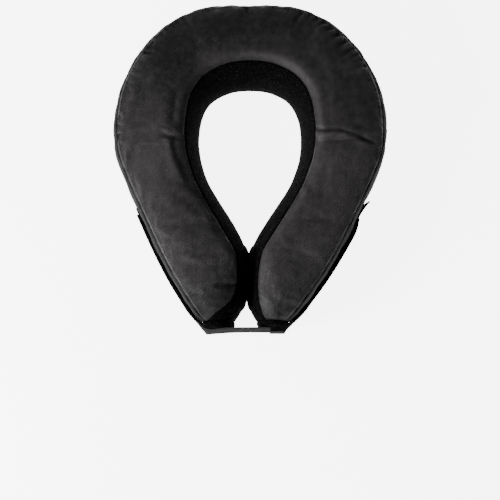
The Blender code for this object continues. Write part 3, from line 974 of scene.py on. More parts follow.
GATHERS = (
    Gather(0.052, 0.116, 7, 0.036, 0.0042, 0.0026, -14.0),
    Gather(0.116, 0.150, 4, 0.028, 0.0030, 0.0024, -10.0),
    Gather(0.018, 0.050, 4, 0.014, 0.0009, 0.0018),
    Gather(-0.132, -0.066, 9, 0.023, 0.0027, 0.0022, 14.0),
    Gather(-0.062, -0.020, 6, 0.012, 0.0007, 0.0018),
    Gather(-0.235, -0.140, 10, 0.010, 0.0007, 0.0016),
    Gather(0.165, 0.250, 9, 0.010, 0.0007, 0.0016),
)

# On the outer band: distance round from the nape, and height.
BAND_FOLDS = (
    Fold(
        ((0.068, 0.058), (0.092, 0.053), (0.118, 0.054), (0.142, 0.060)),
        0.0010, 0.0030, 0.0006, 0.004, 1, 0.012, 0.014,
    ),
    Fold(
        ((0.064, 0.049), (0.090, 0.043), (0.120, 0.044), (0.150, 0.050)),
        0.0007, 0.0030, 0.0008, 0.005, 1, 0.014, 0.016,
    ),
    Fold(
        ((0.072, 0.031), (0.098, 0.026), (0.130, 0.030), (0.158, 0.036)),
        0.0009, 0.0032, 0.0006, 0.005, 1, 0.014, 0.016,
    ),
    Fold(((0.064, 0.019), (0.085, 0.016), (0.110, 0.017)), 0.0007, 0.0024, 0.0005, 0.004, 1, 0.010, 0.014),
    Fold(
        ((-0.075, 0.064), (-0.040, 0.0625), (0.0, 0.0620), (0.040, 0.0625), (0.062, 0.0635)),
        0.0010, 0.0028, 0.0005, 0.003, -1, 0.016, 0.016,
    ),
    Fold(
        ((-0.072, 0.0165), (-0.030, 0.0165), (0.020, 0.0165), (0.060, 0.0165)),
        0.0007, 0.0024, 0.0007, 0.003, -1, 0.016, 0.016,
    ),
    Fold(
        ((-0.070, 0.034), (-0.096, 0.030), (-0.124, 0.033), (-0.156, 0.043)),
        0.0008, 0.0032, 0.0006, 0.005, 1, 0.014, 0.018,
    ),
    Fold(((-0.078, 0.050), (-0.104, 0.050), (-0.132, 0.056)), 0.0006, 0.0034, 0.0005, 0.005, 1, 0.012, 0.016),
    Fold(((-0.080, 0.022), (-0.112, 0.019), (-0.140, 0.022)), 0.0006, 0.0026, 0.0005, 0.004, 1, 0.012, 0.016),
    Fold(((0.160, 0.058), (0.190, 0.054), (0.225, 0.056)), 0.0007, 0.0034, 0.0006, 0.005, 1, 0.014, 0.018),
    Fold(((-0.160, 0.060), (-0.190, 0.055), (-0.228, 0.057)), 0.0007, 0.0034, 0.0006, 0.005, 1, 0.014, 0.018),
)


class Seams:
    """Where the cover's panels meet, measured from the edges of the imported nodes."""

    def __init__(self) -> None:
        """Measures the top edge seam, seen from above, from the nape round to both tips, and the rim seam."""
        sheet = outer_face("top_panel")
        loop = self.walk(sheet)
        self.top_edge = smooth_path(self.run_beside(loop, "outer_band"))
        self.rim = smooth_path(self.run_beside(loop, "neck_lining"))
        sheet.free()
        self.course = Line(self.top_edge[:, :2])
        nape = np.array([[0.0, self.top_edge[:, 1].max()]])
        self.nape = float(self.course.measure(nape)[0][0])

    @staticmethod
    def run_beside(loop: list[bmesh.types.BMVert], node: str) -> list[tuple]:
        """Takes the run of a panel's edge that lies along another node, from -X to +X.

        Args:
            loop: The panel's edge, in order.
            node: The other node.

        Returns:
            The run's points.
        """
        beside = tree_of(mesh_of(node))
        near = [beside.find_nearest(vertex.co, SEAM_REACH)[0] is not None for vertex in loop]
        turn = next(index for index in range(len(near)) if near[index] and not near[index - 1])
        run = []
        for step in range(len(near)):
            index = (turn + step) % len(near)
            if not near[index]:
                break
            run.append(tuple(loop[index].co))
        return run[::-1] if run[0][0] > run[-1][0] else run

    def top_edge_at(self, distance: float) -> tuple[Vector, Vector]:
        """Gives a place on the top edge seam, seen from above, and the way in from it.

        Args:
            distance: How far round from the nape.

        Returns:
            The place and the way in, both in plan.
        """
        place, run = way_at(self.course, distance + self.nape)
        return place, Vector((run.y, -run.x))

    @staticmethod
    def walk(sheet: Form) -> list[bmesh.types.BMVert]:
        """Orders the vertices of an open sheet's edge, which is one closed loop.

        Args:
            sheet: The sheet.

        Returns:
            The vertices, in order.
        """
        joined: dict[bmesh.types.BMVert, list[bmesh.types.BMVert]] = {}
        for edge in sheet.edges:
            if edge.is_boundary:
                first, second = edge.verts
                joined.setdefault(first, []).append(second)
                joined.setdefault(second, []).append(first)
        start = next(iter(joined))
        loop = [start]
        before, here = start, joined[start][0]
        while here != start:
            loop.append(here)
            before, here = here, next(other for other in joined[here] if other != before)
        return loop

    def along(self, places: np.ndarray) -> np.ndarray:
        """Gives how far round the collar each place is from the nape, growing towards +X."""
        return self.course.measure(places[:, :2])[0] - self.nape


def way_at(line: Line, mark: float, ahead: float = 0.001) -> tuple[Vector, Vector]:
    """Gives the place at a distance along a line, and the way on from there."""
    place = line.at(mark)
    return place, (line.at(mark + ahead) - place).normalized()


TIP_SEAM = (
    (-0.0135, -0.122),
    (-0.0155, -0.1315),
    (-0.0205, -0.1400),
    (-0.0300, -0.1485),
    (-0.0410, -0.1575),
    (-0.0500, -0.1665),
)
TIP_FALL = 0.010  # how far the fleece corner of the tip on -X falls away
TIP_WIDTH = 0.022
PILE_SWELL = 0.0022  # how far the lining's pile stands out where the tips lie together
TIP_FOOT = 0.030  # below this height the corner stays as it is
TIP_HEIGHT = 0.045


def tip_depth(places: np.ndarray) -> np.ndarray:
    """Gives how far past the slanting seam of the tip on -X each place lies, towards its fleece corner.

    Args:
        places: The places, as rows.

    Returns:
        The distances, in plan, and nought elsewhere.
    """
    _, off, side = Line(smooth_path(TIP_SEAM)).measure(places[:, :2])
    here = (places[:, 0] < 0.0) & (places[:, 1] < TIP_SEAM[0][1]) & (places[:, 0] > TIP_SEAM[-1][0])
    return np.where(here & (side > 0.0), off, 0.0)


def round_tip(piece: Piece) -> None:
    """Lets the fleece corner of the tip on -X fall away, on any part of the collar.

    Args:
        piece: The part.
    """
    places = rows_of(piece.data)
    share = np.clip(tip_depth(places) / TIP_WIDTH, 0.0, 1.0)
    high = np.clip((places[:, 2] - TIP_FOOT) / TIP_HEIGHT, 0.0, 1.0)
    places[:, 2] -= TIP_FALL * share**1.4 * high
    set_positions(piece.data, places)


def close_gap(piece: Piece, start: float = 2e-4, reach: float = 0.012, widest: float = 0.0125) -> None:
    """Lets the lining's pile on the two tips swell until it meets in the middle.

    Args:
        piece: The lining.
        start: How far off the pile the look across the gap starts.
        reach: How far it goes.
        widest: The gap at which the pile doesn't swell at all.
    """
    places, outward = rows_of(piece.data), rows_of(piece.data, "normal")
    walls = tree_of(piece.data)
    rise = np.zeros(len(places))
    for index in np.nonzero(places[:, 1] < -0.04)[0]:
        facing = Vector(outward[index])
        hit = walls.ray_cast(Vector(places[index]) + facing * start, facing, reach)
        if hit[0] is not None:
            gap = hit[3] + start
            rise[index] = min(0.5 * gap - 0.00004, PILE_SWELL * (1.0 - gap / widest) ** 0.5)
    set_positions(piece.data, places + rise[:, None] * outward)


CLOTH = {
    "quality": 6,
    "mass": 0.25,
    "vertex_group_mass": "held",
    "tension_stiffness": 30.0,
    "compression_stiffness": 30.0,
    "shear_stiffness": 8.0,
    "bending_stiffness": 0.4,
    "use_pressure": True,
}
CLOTH_FRAMES = 20
CLOTH_LEVELS = 2  # how fine the panel is when it settles, out of its levels


@dataclass
class Cover:
    """One sewn panel of the cover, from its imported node: refined, settled, creased and given its wall."""

    node: str
    material: Material
    levels: int = 3
    wall: float = 0.0012
    tuck: float = 0.0010
    tuck_width: float = 0.0030
    growth: float = 0.0
    press: float = 4.0
    cap: float = 0.0018
    unrolled: bool = False
    meets_itself: bool = False
    folds: tuple[Fold, ...] = ()
    tip_material: Material | None = None
    slot: str = "nylon"
    forward: float = 0.0
    forward_reach: float = 0.006
    puff: float = 0.0
    seam_reach: float = 0.003  # within this of a seam the cloth lies flatter
    ironed: Ironed | None = None
    # painted light and shade on the panel's nylon
    painted_light_spots: tuple[PaintedLightSpot, ...] = ()
    # painted highlight along the rim
    rim_highlight: PaintedRimHighlight | None = None

    def build(self, seams: Seams) -> Piece:
        """Builds the panel.

        Args:
            seams: Where the panels meet.

        Returns:
            The finished piece.
        """
        piece = new_piece(f"{self.node}_cloth", outer_face(self.node))
        rounds = self.levels
        if self.growth:
            subdivide(piece, CLOTH_LEVELS)
            self.settle(piece)
            rounds -= CLOTH_LEVELS
        subdivide(piece, rounds)
        if self.ironed:
            places = rows_of(piece.data)
            places[:, 2] += self.ironed.flatten(places, tree_of(piece.data))
            set_positions(piece.data, places)
        folded = self.crease(piece, seams)
        smooth(piece)
        self.lay_out(piece, seams, folded)
        wall = piece.modifiers.new("wall", "SOLIDIFY")
        wall.thickness = self.wall
        wall.offset = -1.0
        apply_modifiers(piece)
        finish_piece(piece, self.slot, *filter(None, (self.material, self.tip_material)))
        if self.tip_material:
            self.turn_tip(piece)
        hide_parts(self.node)
        return piece

    def settle(self, piece: Piece) -> None:
        """Lets the panel settle as cloth, held at its seams and cut a little larger than its place.

        Args:
            piece: The panel.
        """
        start, outward = rows_of(piece.data), rows_of(piece.data, "normal")
        sheet = bmesh.new()
        sheet.from_mesh(piece.data)
        edge = [vertex.index for vertex in sheet.verts if vertex.is_boundary]
        sheet.free()
        piece.vertex_groups.new(name="held").add(edge, 1.0, "REPLACE")
        cloth = piece.modifiers.new("cloth", "CLOTH")
        for name, value in CLOTH.items():
            setattr(cloth.settings, name, value)
        cloth.settings.uniform_pressure_force = self.press
        cloth.settings.shrink_min = -self.growth
        cloth.settings.effector_weights.gravity = 0.0
        cloth.point_cache.frame_start = 1
        cloth.point_cache.frame_end = CLOTH_FRAMES
        scene = bpy.context.scene
        for step in range(1, CLOTH_FRAMES + 1):
            scene.frame_set(step)
        graph = bpy.context.evaluated_depsgraph_get()
        moved = rows_of(piece.evaluated_get(graph).data) - start
        scene.frame_set(1)
        piece.modifiers.remove(cloth)
        piece.vertex_groups.clear()
        rise = np.einsum("ij,ij->i", moved, outward)
        slide = moved - rise[:, None] * outward
        rise = np.clip(rise, -0.35 * self.cap, self.cap)
        reach = np.linalg.norm(slide, axis=1, keepdims=True)
        slide *= np.minimum(1.0, self.cap / np.maximum(reach, 1e-9))
        LOG.info("%s settled: rise %.2f to %.2f mm", self.node, rise.min() * 1000, rise.max() * 1000)
        set_positions(piece.data, start + rise[:, None] * outward + slide)

    def flat(self, places: np.ndarray, seams: Seams) -> np.ndarray:
        """Gives where places lie on the flat cloth, unrolled for a panel that stands, as rows of two."""
        return np.column_stack((seams.along(places), places[:, 2])) if self.unrolled else places[:, :2]

    def crease(self, piece: Piece, seams: Seams) -> np.ndarray:
        """Works the folds into the panel and draws its edges down into the seams.

        Args:
            piece: The panel.
            seams: Where the panels meet.

        Returns:
            How far the folds alone lift each place.
        """
        places, outward = rows_of(piece.data), rows_of(piece.data, "normal")
        flat = self.flat(places, seams)
        rise = np.zeros(len(places))
        for fold in self.folds:
            rise += fold.height(flat)
        folded = rise.copy()
        for index, place in enumerate(places):
            spot = Vector(place)
            rise[index] += 0.0004 * noise.noise(spot * 45.0) + 0.00018 * noise.noise(spot * 140.0)
        sheet = bmesh.new()
        sheet.from_mesh(piece.data)
        edge = Seams.walk(sheet)
        rim = np.array([tuple(vertex.co) for vertex in (*edge, edge[0])])
        sheet.free()
        distance = Line(rim).measure(places)[1]
        clear = np.clip(distance / self.seam_reach, 0.0, 1.0)
        near = np.clip(1.0 - distance / self.tuck_width, 0.0, 1.0)
        rise *= clear * 0.7 + 0.3
        rise += self.puff * clear - self.tuck * near**2
        set_positions(piece.data, places + rise[:, None] * outward)
        if self.meets_itself:
            close_gap(piece)
        places = rows_of(piece.data)
        places[:, 1] -= self.forward * np.clip(distance / self.forward_reach, 0.0, 1.0) ** 0.5
        set_positions(piece.data, places)
        round_tip(piece)
        places = rows_of(piece.data)
        places[:, 2] = np.maximum(places[:, 2], FLOOR_GAP)
        set_positions(piece.data, places)
        return folded

    @staticmethod
    def turn_tip(piece: Piece) -> None:
        """Gives the rounded corner of the tip on -X the fleece that wraps up over it.

        Args:
            piece: The top panel.
        """
        middles = np.empty(len(piece.data.polygons) * 3)
        piece.data.polygons.foreach_get("center", middles)
        past = tip_depth(middles.reshape(-1, 3)) > 0.0
        piece.data.polygons.foreach_set("material_index", past.astype(np.int32))

    def lay_out(self, piece: Piece, seams: Seams, folded: np.ndarray) -> None:
        """Gives the panel a UV map in metres, and stores its painted light and shade and its wear.

        Args:
            piece: The panel.
            seams: Where the panels meet.
            folded: How far the folds alone lift each place; valleys get painted shade, ridges wear lighter.
        """
        places = rows_of(piece.data)
        layer = piece.data.uv_layers.new(name="cloth")
        corners = np.empty(len(piece.data.loops), dtype=np.int64)
        piece.data.loops.foreach_get("vertex_index", corners)
        layer.data.foreach_set("uv", self.flat(places, seams)[corners].ravel())
        # Painted light and shade: lighter and darker patches, painted shade in fold valleys, and the painted
        # rim highlight.
        painted_light_and_wear = sum((light_spot.at(places) for light_spot in self.painted_light_spots), FOLD_SHADE_AND_WEAR * folded)
        if self.rim_highlight:
            painted_light_and_wear += self.rim_highlight.at(places, seams.rim)
        piece.data.attributes.new(PAINTED_LIGHT_AND_WEAR, "FLOAT", "POINT").data.foreach_set("value", painted_light_and_wear)


@dataclass
class Fitting:
    """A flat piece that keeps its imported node's shape, rounded and given a finish."""

    node: str
    material: Material
    slot: str
    levels: int = 2
    soften: float = 0.0004
    swell: float = 0.0
    swell_front: float = -0.160  # only what lies in front of this swells
    swell_reach: float = 0.006
    highlight_material: Material | None = None  # a lighter finish, a painted highlight, for what of that faces up
    sharp: float = 40.0  # degrees

    def build(self) -> Piece:
        """Builds the piece.

        Returns:
            The finished piece.
        """
        form = merged(self.node)
        pair_triangles(form, self.sharp)
        creases = form.edges.layers.float.new("crease_edge")
        for edge in form.edges:
            if edge.calc_face_angle(0.0) > math.radians(self.sharp):
                edge[creases] = 1.0
        piece = new_piece(f"{self.node}_finished", form)
        subdivide(piece, self.levels)
        if self.swell:
            places = rows_of(piece.data)
            share = np.clip((self.swell_front - places[:, 1]) / self.swell_reach, 0.0, 1.0)
            set_positions(piece.data, places + (self.swell * share)[:, None] * rows_of(piece.data, "normal"))
        edges = piece.modifiers.new("edges", "BEVEL")
        edges.width = self.soften
        edges.segments = 3
        edges.limit_method = "ANGLE"
        edges.angle_limit = math.radians(self.sharp)
        apply_modifiers(piece)
        smooth(piece)
        finish_piece(piece, self.slot, self.material)
        # Painted highlight: the strap's upward-facing faces in front get the lighter finish.
        if self.highlight_material:
            piece.data.materials.append(self.highlight_material)
            for face in piece.data.polygons:
                if face.normal.z > 0.6 and face.center.y < self.swell_front:
                    face.material_index = 1
        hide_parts(self.node)
        return piece


@dataclass
class Core:
    """The foam inside the cover: its packed form, drawn in so that the cloth lies clear of it."""

    material: Material
    node: str = "foam_core"
    drawn_in: float = 0.0022

    def build(self) -> Piece:
        """Builds the foam.

        Returns:
            The finished piece.
        """
        piece = new_piece("foam_core_form", merged(self.node))
        subdivide(piece, 1)
        set_positions(piece.data, rows_of(piece.data) - self.drawn_in * rows_of(piece.data, "normal"))
        round_tip(piece)
        finish_piece(piece, "foam", self.material)
        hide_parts(self.node)
        return piece


class Copies:
    """A mesh made of many copies of one small shape."""

    def __init__(self, name: str, shape: Form) -> None:
        """Keeps the shape.

        Args:
            name: The name of the piece to make.
            shape: The small shape, of unit size; it is freed.
        """
        self.name = name
        self.shape = bpy.data.meshes.new("shape")
        shape.to_mesh(self.shape)
        shape.free()
        self.made = bmesh.new()

    def lay(self, place: Vector, run: Vector, up: Vector, size: Tone) -> None:
        """Adds one copy, laid on a surface.

        Args:
            place: Where its middle goes.
            run: The way its x axis points.
            up: The surface's normal.
            size: Its length, width and height.
        """
        across = up.cross(run).normalized()
        along = across.cross(up).normalized()
        turn = Matrix((along, across, up)).transposed().to_4x4()
        matrix = Matrix.Translation(place) @ turn @ Matrix.Diagonal((*size, 1.0))
        self.shape.transform(matrix)
        self.made.from_mesh(self.shape)
        self.shape.transform(matrix.inverted())

    def lay_on(self, found: tuple[Vector, Vector, Vector] | None, lift: float, size: Tone) -> None:
        """Adds one copy that runs round the wall, unless its place is past the wall's ends.

        Args:
            found: The place, the wall's normal and the way round; or None.
            lift: How far the copy stands off the wall.
            size: Its length, width and height.
        """
        if found:
            place, up, run = found
            self.lay(place + up * lift, run, up, size)

    def finish(self, material: Material, slot: str) -> Piece:
        """Makes the piece.

        Args:
            material: Its finish.
            slot: Handed on to finish_piece, which does not use it.

        Returns:
            The piece.
        """
        piece = new_piece(self.name, self.made)
        bpy.data.meshes.remove(self.shape)
        smooth(piece)
        finish_piece(piece, slot, material)
        return piece


def seed_shape(rings: int = 4) -> Form:
    """Makes a long rounded grain of unit size, for a stitch.

    Args:
        rings: How many rings it has from end to end.

    Returns:
        The shape.
    """
    shape = bmesh.new()
    turned = Matrix.Rotation(math.pi / 2, 4, "Y")
    bmesh.ops.create_uvsphere(shape, u_segments=6, v_segments=rings, radius=0.5, matrix=turned)
    return shape


def strand_shape() -> Form:
    """Makes a short rod of unit size with drawn-in ends, for a satin stitch.

    Returns:
        The shape.
    """
    shape = bmesh.new()
    turned = Matrix.Rotation(math.pi / 2, 4, "Y")
    radii = {"radius1": 0.5, "radius2": 0.5, "depth": 1.0}
    bmesh.ops.create_cone(shape, cap_ends=True, segments=6, matrix=turned, **radii)
    ends = [edge for face in shape.faces if len(face.verts) == 6 for edge in face.edges]
    bmesh.ops.bevel(shape, geom=ends, offset=0.06, segments=1, profile=0.5, affect="EDGES", material=-1)
    return shape


def arch_shape() -> Form:
    """Makes a thread arched over a rib: x along the rib, y across it, z up, of unit width and height.

    Returns:
        The shape.
    """
    shape = bmesh.new()
    bmesh.ops.create_circle(shape, segments=5, radius=0.13, matrix=Matrix.Translation((0.0, -0.5, 0.0)))
    ring = shape.verts[:] + shape.edges[:]
    turn = {"cent": (0.0, 0.0, 0.0), "axis": (1.0, 0.0, 0.0), "angle": math.pi, "steps": 6}
    bmesh.ops.spin(shape, geom=ring, use_merge=False, use_duplicate=False, **turn)
    bmesh.ops.remove_doubles(shape, verts=shape.verts, dist=1e-5)
    bmesh.ops.recalc_face_normals(shape, faces=shape.faces)
    return shape


@dataclass
class Stitching:
    """The lockstitch beside the top edge seam and the hem, and the ticks over the rim seam."""

    material: Material
    pitch: float = 0.0031
    length: float = 0.0023
    gauge: float = 0.0006
    top_inset: float = 0.0026
    tick_pitch: float = 0.0023
    tick_length: float = 0.0020
    tick_inset: float = 0.0016
    tick_slant: float = 0.35
    hem_height: float = 0.0125
    hem_lift: float = 0.00005

    def build(self, seams: Seams, top: Piece, band: Piece) -> None:
        """Sews the rows.

        Args:
            seams: Where the panels meet.
            top: The finished top panel.
            band: The finished outer band.
        """
        ground = tree_of(top.data)
        count = int(seams.course.marks[-1] / self.pitch)
        marks = [index * self.pitch - seams.nape for index in range(1, count)]
        self.sew_top(seams, ground, marks)
        self.sew_rim(seams, ground)
        self.sew_hem(seams, band, marks[1:-1])

    def sew_top(self, seams: Seams, ground: BVHTree, marks: list[float]) -> None:
        """Sews the row beside the top edge seam.

        Args:
            seams: Where the panels meet.
            ground: The finished top panel's search tree.
            marks: How far round from the nape each stitch is.
        """
        row = Copies("top_edge_stitches", seed_shape())
        for mark in marks:
            spot, inward = seams.top_edge_at(mark)
            place, up = ground.ray_cast(Vector((*(spot + inward * self.top_inset), 0.1)), DOWN)[:2]
            if place is not None:
                run = Vector((-inward.y, inward.x, 0.0))
                row.lay(place + up * LIFT, run, up, (self.length, self.gauge, self.gauge))
        row.finish(self.material, "border")

    def sew_rim(self, seams: Seams, ground: BVHTree) -> None:
        """Sews the short ticks over the rim seam.

        Args:
            seams: Where the panels meet.
            ground: The finished top panel's search tree.
        """
        rim = Line(seams.rim)
        ticks = Copies("rim_stitches", seed_shape())
        for index in range(1, int(rim.marks[-1] / self.tick_pitch)):
            place, run = way_at(rim, index * self.tick_pitch)
            outward = Vector((-run.y, run.x, 0.0)).normalized()
            spot, up = ground.find_nearest(place + outward * self.tick_inset)[:2]
            slant = (up.cross(run).normalized() + run * self.tick_slant).normalized()
            ticks.lay(spot + up * LIFT, slant, up, (self.tick_length, self.gauge, self.gauge))
        ticks.finish(self.material, "border")

    def sew_hem(self, seams: Seams, band: Piece, marks: list[float]) -> None:
        """Sews the row above the hem.

        Args:
            seams: Where the panels meet.
            band: The finished outer band.
            marks: How far round from the nape each stitch is.
        """
        wall = Wall(seams, band)
        row = Copies("hem_stitches", seed_shape())
        for mark in marks:
            row.lay_on(wall.at(mark, self.hem_height), self.hem_lift, (self.length, self.gauge, self.gauge))
        row.finish(self.material, "border")


class Wall:
    """The face of a piece on the outer band: places on it are a distance round and a height."""

    OUTSIDE = 0.03  # how far out a look at the wall starts

    def __init__(self, seams: Seams, piece: Piece) -> None:
        """Keeps where the panels meet and the piece's search tree."""
        self.seams = seams
        self.ground = tree_of(piece.data)

    def at(self, distance: float, height: float) -> tuple[Vector, Vector, Vector] | None:
        """Finds a place on the wall.

        Args:
            distance: How far round from the nape.
            height: Its height.

        Returns:
            The place, the wall's normal and the way round towards +X; or None past its ends.
        """
        spot, inward = self.seams.top_edge_at(distance)
        away = Vector((-inward.x, -inward.y, 0.0))
        start = Vector((*spot, height)) + away * self.OUTSIDE
        place, up = self.ground.ray_cast(start, -away, 2.0 * self.OUTSIDE)[:2]
        return None if place is None else (place, up, Vector((-inward.y, inward.x, 0.0)))


@dataclass
class Patch:
    """The sewn-on patch: twill ground, overlocked border and a row of satin-stitched bars."""

    ground: Material
    border: Material
    white: Material
    green: Material
    edge_light: Material
    foot: float = 0.0008  # what of a bar lies that near its end gives the end's width
    strand_pitch: float = 0.00042
    strand_gauge: float = 0.00050
    strand_inset: float = 0.0002
    strand_over: float = 0.0003  # how much longer a strand is than its bar is wide
    strand_lift: float = 0.00002
    half: float = 0.0018  # the border's width
    wrap_pitch: float = 0.00105
    wrap_slant: float = 0.22
    wrap_size: Spot = (0.0040, 0.0030)
    wrap_over: float = 0.0004
    wrap_sink: float = 0.00112
    fleck_pitch: float = 0.0019
    fleck_size: Tone = (0.0011, 0.0004, 0.0004)
    fleck_inset: float = 0.0003

    def build(self, seams: Seams) -> None:
        """Builds the patch.

        Args:
            seams: Where the panels meet.
        """
        Fitting("patch_ground", self.ground, "patch").build()
        Fitting("patch_border", self.border, "border").build()
        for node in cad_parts:
            if node.startswith("bar_"):
                finish = self.green if "green" in node else self.white
                slot = "green_thread" if "green" in node else "white_thread"
                bar = Fitting(node, finish, slot, levels=1).build()
                self.stitch_bar(node, Wall(seams, bar)).finish(finish, slot)
        self.wrap_border(seams)

    def stitch_bar(self, node: str, wall: Wall) -> Copies:
        """Lays the satin stitches over one bar.

        Args:
            node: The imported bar.
            wall: The face of its finished base.

        Returns:
            The stitches.
        """
        places = rows_of(mesh_of(node))
        round_at = wall.seams.along(places)
        low, high = places[:, 2].min(), places[:, 2].max()
        parts = (places[:, 2] < low + self.foot, places[:, 2] > high - self.foot)
        ends = [(round_at[part].min(), round_at[part].max()) for part in parts]
        strands = Copies(f"{node}_strands", strand_shape())
        count = int((high - low) / self.strand_pitch)
        for index in range(count + 1):
            share = index / count
            left, right = (ends[0][side] + (ends[1][side] - ends[0][side]) * share for side in (0, 1))
            height = low + self.strand_inset + (high - low - 2.0 * self.strand_inset) * share
            size = (right - left + self.strand_over, self.strand_gauge, self.strand_gauge)
            strands.lay_on(wall.at(0.5 * (left + right), height), self.strand_lift, size)
        return strands

    def wrap_border(self, seams: Seams) -> None:
        """Lays the overlock threads round the border, and the light line of stitches inside its top.

        Args:
            seams: Where the panels meet.
        """
        places = rows_of(mesh_of("patch_border"))
        round_at, heights = seams.along(places), places[:, 2]
        left, right = round_at.min() + self.half, round_at.max() - self.half
        low, high = heights.min() + self.half, heights.max() - self.half
        wall = Wall(seams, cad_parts["patch_border"])
        wraps = Copies("border_wraps", arch_shape())
        corners = ((left, low), (right, low), (right, high), (left, high))
        size = (self.wrap_size[0], 2.0 * self.half + self.wrap_over, self.wrap_size[1])
        for index, (start, end) in enumerate(zip(corners, corners[1:] + corners[:1])):
            count = round(math.dist(start, end) / self.wrap_pitch)
            for share in ((step + 0.5) / count for step in range(count)):
                found = wall.at(*(first + (last - first) * share for first, last in zip(start, end)))
                if found:
                    place, up, run = found
                    way = Vector((run.x, run.y, 0.0)) if index in (0, 2) else UP
                    slant = (way + up.cross(way) * self.wrap_slant).normalized()
                    wraps.lay(place - up * self.wrap_sink, slant, up, size)
        wraps.finish(self.border, "border")
        flecks = Copies("border_flecks", seed_shape())
        for index in range(int((right - left) / self.fleck_pitch)):
            if index % 5 == 3:
                continue
            distance = left + (index + 0.5) * self.fleck_pitch
            found = wall.at(distance, high + self.half - self.fleck_inset)
            if found:
                place, up, run = found
                slant = (run + UP * 0.5 * math.sin(4.7 * index)).normalized()
                flecks.lay(place + up * LIFT, slant, up, self.fleck_size)
        flecks.finish(self.edge_light, "border")


def grey(tone: float) -> Tone:
    """Gives a neutral tone."""
    return (tone, tone, tone)


@dataclass
class Studio:
    """The floor, the soft light and the camera."""

    eye: Tone = (0.0, -0.2254, 0.9338)
    elevation: float = 81.08
    lens: float = 64.5
    floor_tone: float = 0.93
    floor_glow: float = 6.0
    floor_cast: float = 0.34  # how much of that glow lights the brace
    sky_glow: float = 7.0
    sky_cast: float = 0.038
    lamps: tuple = (("key", (-0.72, -0.42, 0.46), 14.5, 0.28), ("back", (-0.6, 0.9, 0.8), 3.2, 0.45))
    aim: Tone = (0.0, 0.0, 0.05)

    def build(self) -> None:
        """Builds the floor, the lights and the camera."""
        self.lay_floor()
        self.light()
        self.set_camera()

    @staticmethod
    def seen_white(graph: Graph, cast: float) -> Socket:
        """Gives a glow that the camera sees as white and that casts less light, as much as is said."""
        seen = graph.add("ShaderNodeLightPath").outputs["Is Camera Ray"]
        return graph.blend(seen, grey(cast), grey(1.0))

    def lay_floor(self) -> None:
        """Lays the plain pale floor."""
        form = bmesh.new()
        bmesh.ops.create_grid(form, x_segments=1, y_segments=1, size=3.0)
        floor = new_piece("floor", form)
        made, graph, shader = start_material("pale_floor")
        white = self.seen_white(graph, self.floor_cast)
        glow = {"Emission Color": white, "Emission Strength": self.floor_glow}
        plain = {"Base Color": (*grey(self.floor_tone), 1.0), "Roughness": 0.9, "Specular IOR Level": 0.1}
        graph.give(shader, glow | plain)
        floor.data.materials.append(made)

    def light(self) -> None:
        """Sets the key light low at the front left, one behind, and the pale surround."""
        for name, place, power, size in self.lamps:
            lamp = bpy.data.lights.new(name, "AREA")
            lamp.energy = power
            lamp.size = size
            stand = bpy.data.objects.new(name, lamp)
            bpy.context.scene.collection.objects.link(stand)
            stand.location = place
            stand.rotation_euler = (Vector(self.aim) - Vector(place)).to_track_quat("-Z", "Y").to_euler()
        world = bpy.data.worlds.new("surround")
        bpy.context.scene.world = world
        world.use_nodes = True
        graph = Graph(world.node_tree)
        sky = {0: self.seen_white(graph, self.sky_cast), 1: self.sky_glow}
        graph.give(world.node_tree.nodes["Background"], sky)

    def set_camera(self) -> None:
        """Sets the camera at the photograph's viewing angle, aimed so that the brace stands high in it."""
        data = bpy.data.cameras.new("camera")
        data.sensor_width = 36.0
        data.lens = self.lens
        camera = bpy.data.objects.new("camera", data)
        bpy.context.scene.collection.objects.link(camera)
        camera.location = self.eye
        camera.rotation_euler = (math.radians(90.0 - self.elevation), 0.0, 0.0)
        bpy.context.scene.camera = camera


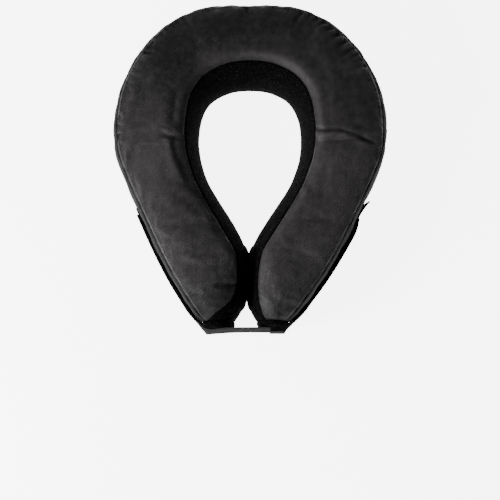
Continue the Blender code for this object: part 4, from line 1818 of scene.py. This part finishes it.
FINISHES = (
    Nylon(
        "nylon_top", (0.0024, 0.0021, 0.0023), (0.052, 0.047, 0.050), 0.48, 0.02,
        gloss=0.42, thread_share=0.5,
    ),
    # Painted shade: the nylon of the band and the sole, made about half as light as the top's nylon.
    Nylon(
        "nylon_band_shaded", (0.0020, 0.0018, 0.0019), (0.022, 0.020, 0.021), 0.66, 0.02, Laid.ON_CLOTH,
        lines=0.0015, gloss=0.18, thread_share=0.3,
    ),
    Fleece("fleece", grey(0.0005), (0.034, 0.032, 0.034), 0.0019, 0.0010),
    Nylon(
        "webbing", grey(0.0010), (0.024, 0.023, 0.024), 0.75, 0.0, Laid.UPRIGHT,
        lines=0.0016, ior=1.15, gloss=0.2, thread_share=0.25,
    ),
    # Painted highlight for the strap's upper faces: the webbing painted lighter, and less rough.
    Nylon("painted_strap_highlight", grey(0.018), grey(0.085), 0.5, 0.0, lines=0.0011),
    Nylon(
        "patch_twill", (0.0006, 0.0005, 0.0007), (0.006, 0.005, 0.006), 0.75, 0.0, Laid.UPRIGHT,
        lines=0.0013, ior=1.2, gloss=0.2,
    ),
    Fleece("loop_pile", grey(0.0012), grey(0.012), 0.0008, 0.0004),
    Thread("black_thread", grey(0.001), grey(0.006), 0.45),
    Thread("overlock_thread", (0.0003, 0.0003, 0.0004), (0.006, 0.0055, 0.006), 0.85, gloss=0.05),
    Thread("pale_thread", grey(0.10), (0.42, 0.41, 0.42), 0.5),
    Thread("white_silk", (0.66, 0.65, 0.66), (0.95, 0.94, 0.95), 0.42),
    Thread("green_silk", (0.32, 0.48, 0.006), (0.60, 0.80, 0.020), 0.42),
    Foam("foam", (0.012, 0.012, 0.013), (0.035, 0.035, 0.036), 0.0012),
)


def main() -> None:
    """Builds the brace's finishes and pieces, and the studio."""
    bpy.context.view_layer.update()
    effects = Effects()
    seams = Seams()
    cloth = {finish.name: finish.make(effects) for finish in FINISHES}
    fleece, webbing, shaded_band_cloth = cloth["fleece"], cloth["webbing"], cloth["nylon_band_shaded"]
    Core(cloth["foam"]).build()
    folds = TOP_FOLDS + tuple(fold for gather in GATHERS for fold in gather.folds(seams))
    top = Cover(
        "top_panel", cloth["nylon_top"], growth=0.012, cap=0.0011, folds=folds, tip_material=fleece,
        ironed=Ironed(), painted_light_spots=PAINTED_LIGHT_SPOTS, rim_highlight=PaintedRimHighlight(),
    ).build(seams)
    band = Cover(
        "outer_band", shaded_band_cloth, growth=0.008, cap=0.0009, unrolled=True, folds=BAND_FOLDS
    ).build(seams)
    Cover("sole", shaded_band_cloth, tuck=0.0004).build(seams)
    Cover("neck_lining", fleece, wall=0.002, tuck=0.0008, meets_itself=True, slot="fleece").build(seams)
    for node, forward in (("tip_end_left", 0.0024), ("tip_end_right", 0.0006)):
        Cover(node, fleece, wall=0.002, tuck=0.0, slot="fleece", forward=forward, puff=0.0018).build(seams)
    painted_strap_highlight = cloth["painted_strap_highlight"]
    Fitting("closure_strap", webbing, "strap", soften=0.0009, swell=0.0009, highlight_material=painted_strap_highlight).build()
    Fitting("strap_keeper", webbing, "keeper").build()
    for node in ("loop_patch_left", "loop_patch_right"):
        Fitting(node, cloth["loop_pile"], "loop").build()
    threads = [cloth[name] for name in ("overlock_thread", "white_silk", "green_silk", "pale_thread")]
    Patch(cloth["patch_twill"], *threads).build(seams)
    Stitching(cloth["black_thread"]).build(seams, top, band)
    Studio().build()


logging.basicConfig(level=logging.INFO, format="%(message)s")

if __name__ == "__main__":
    main()
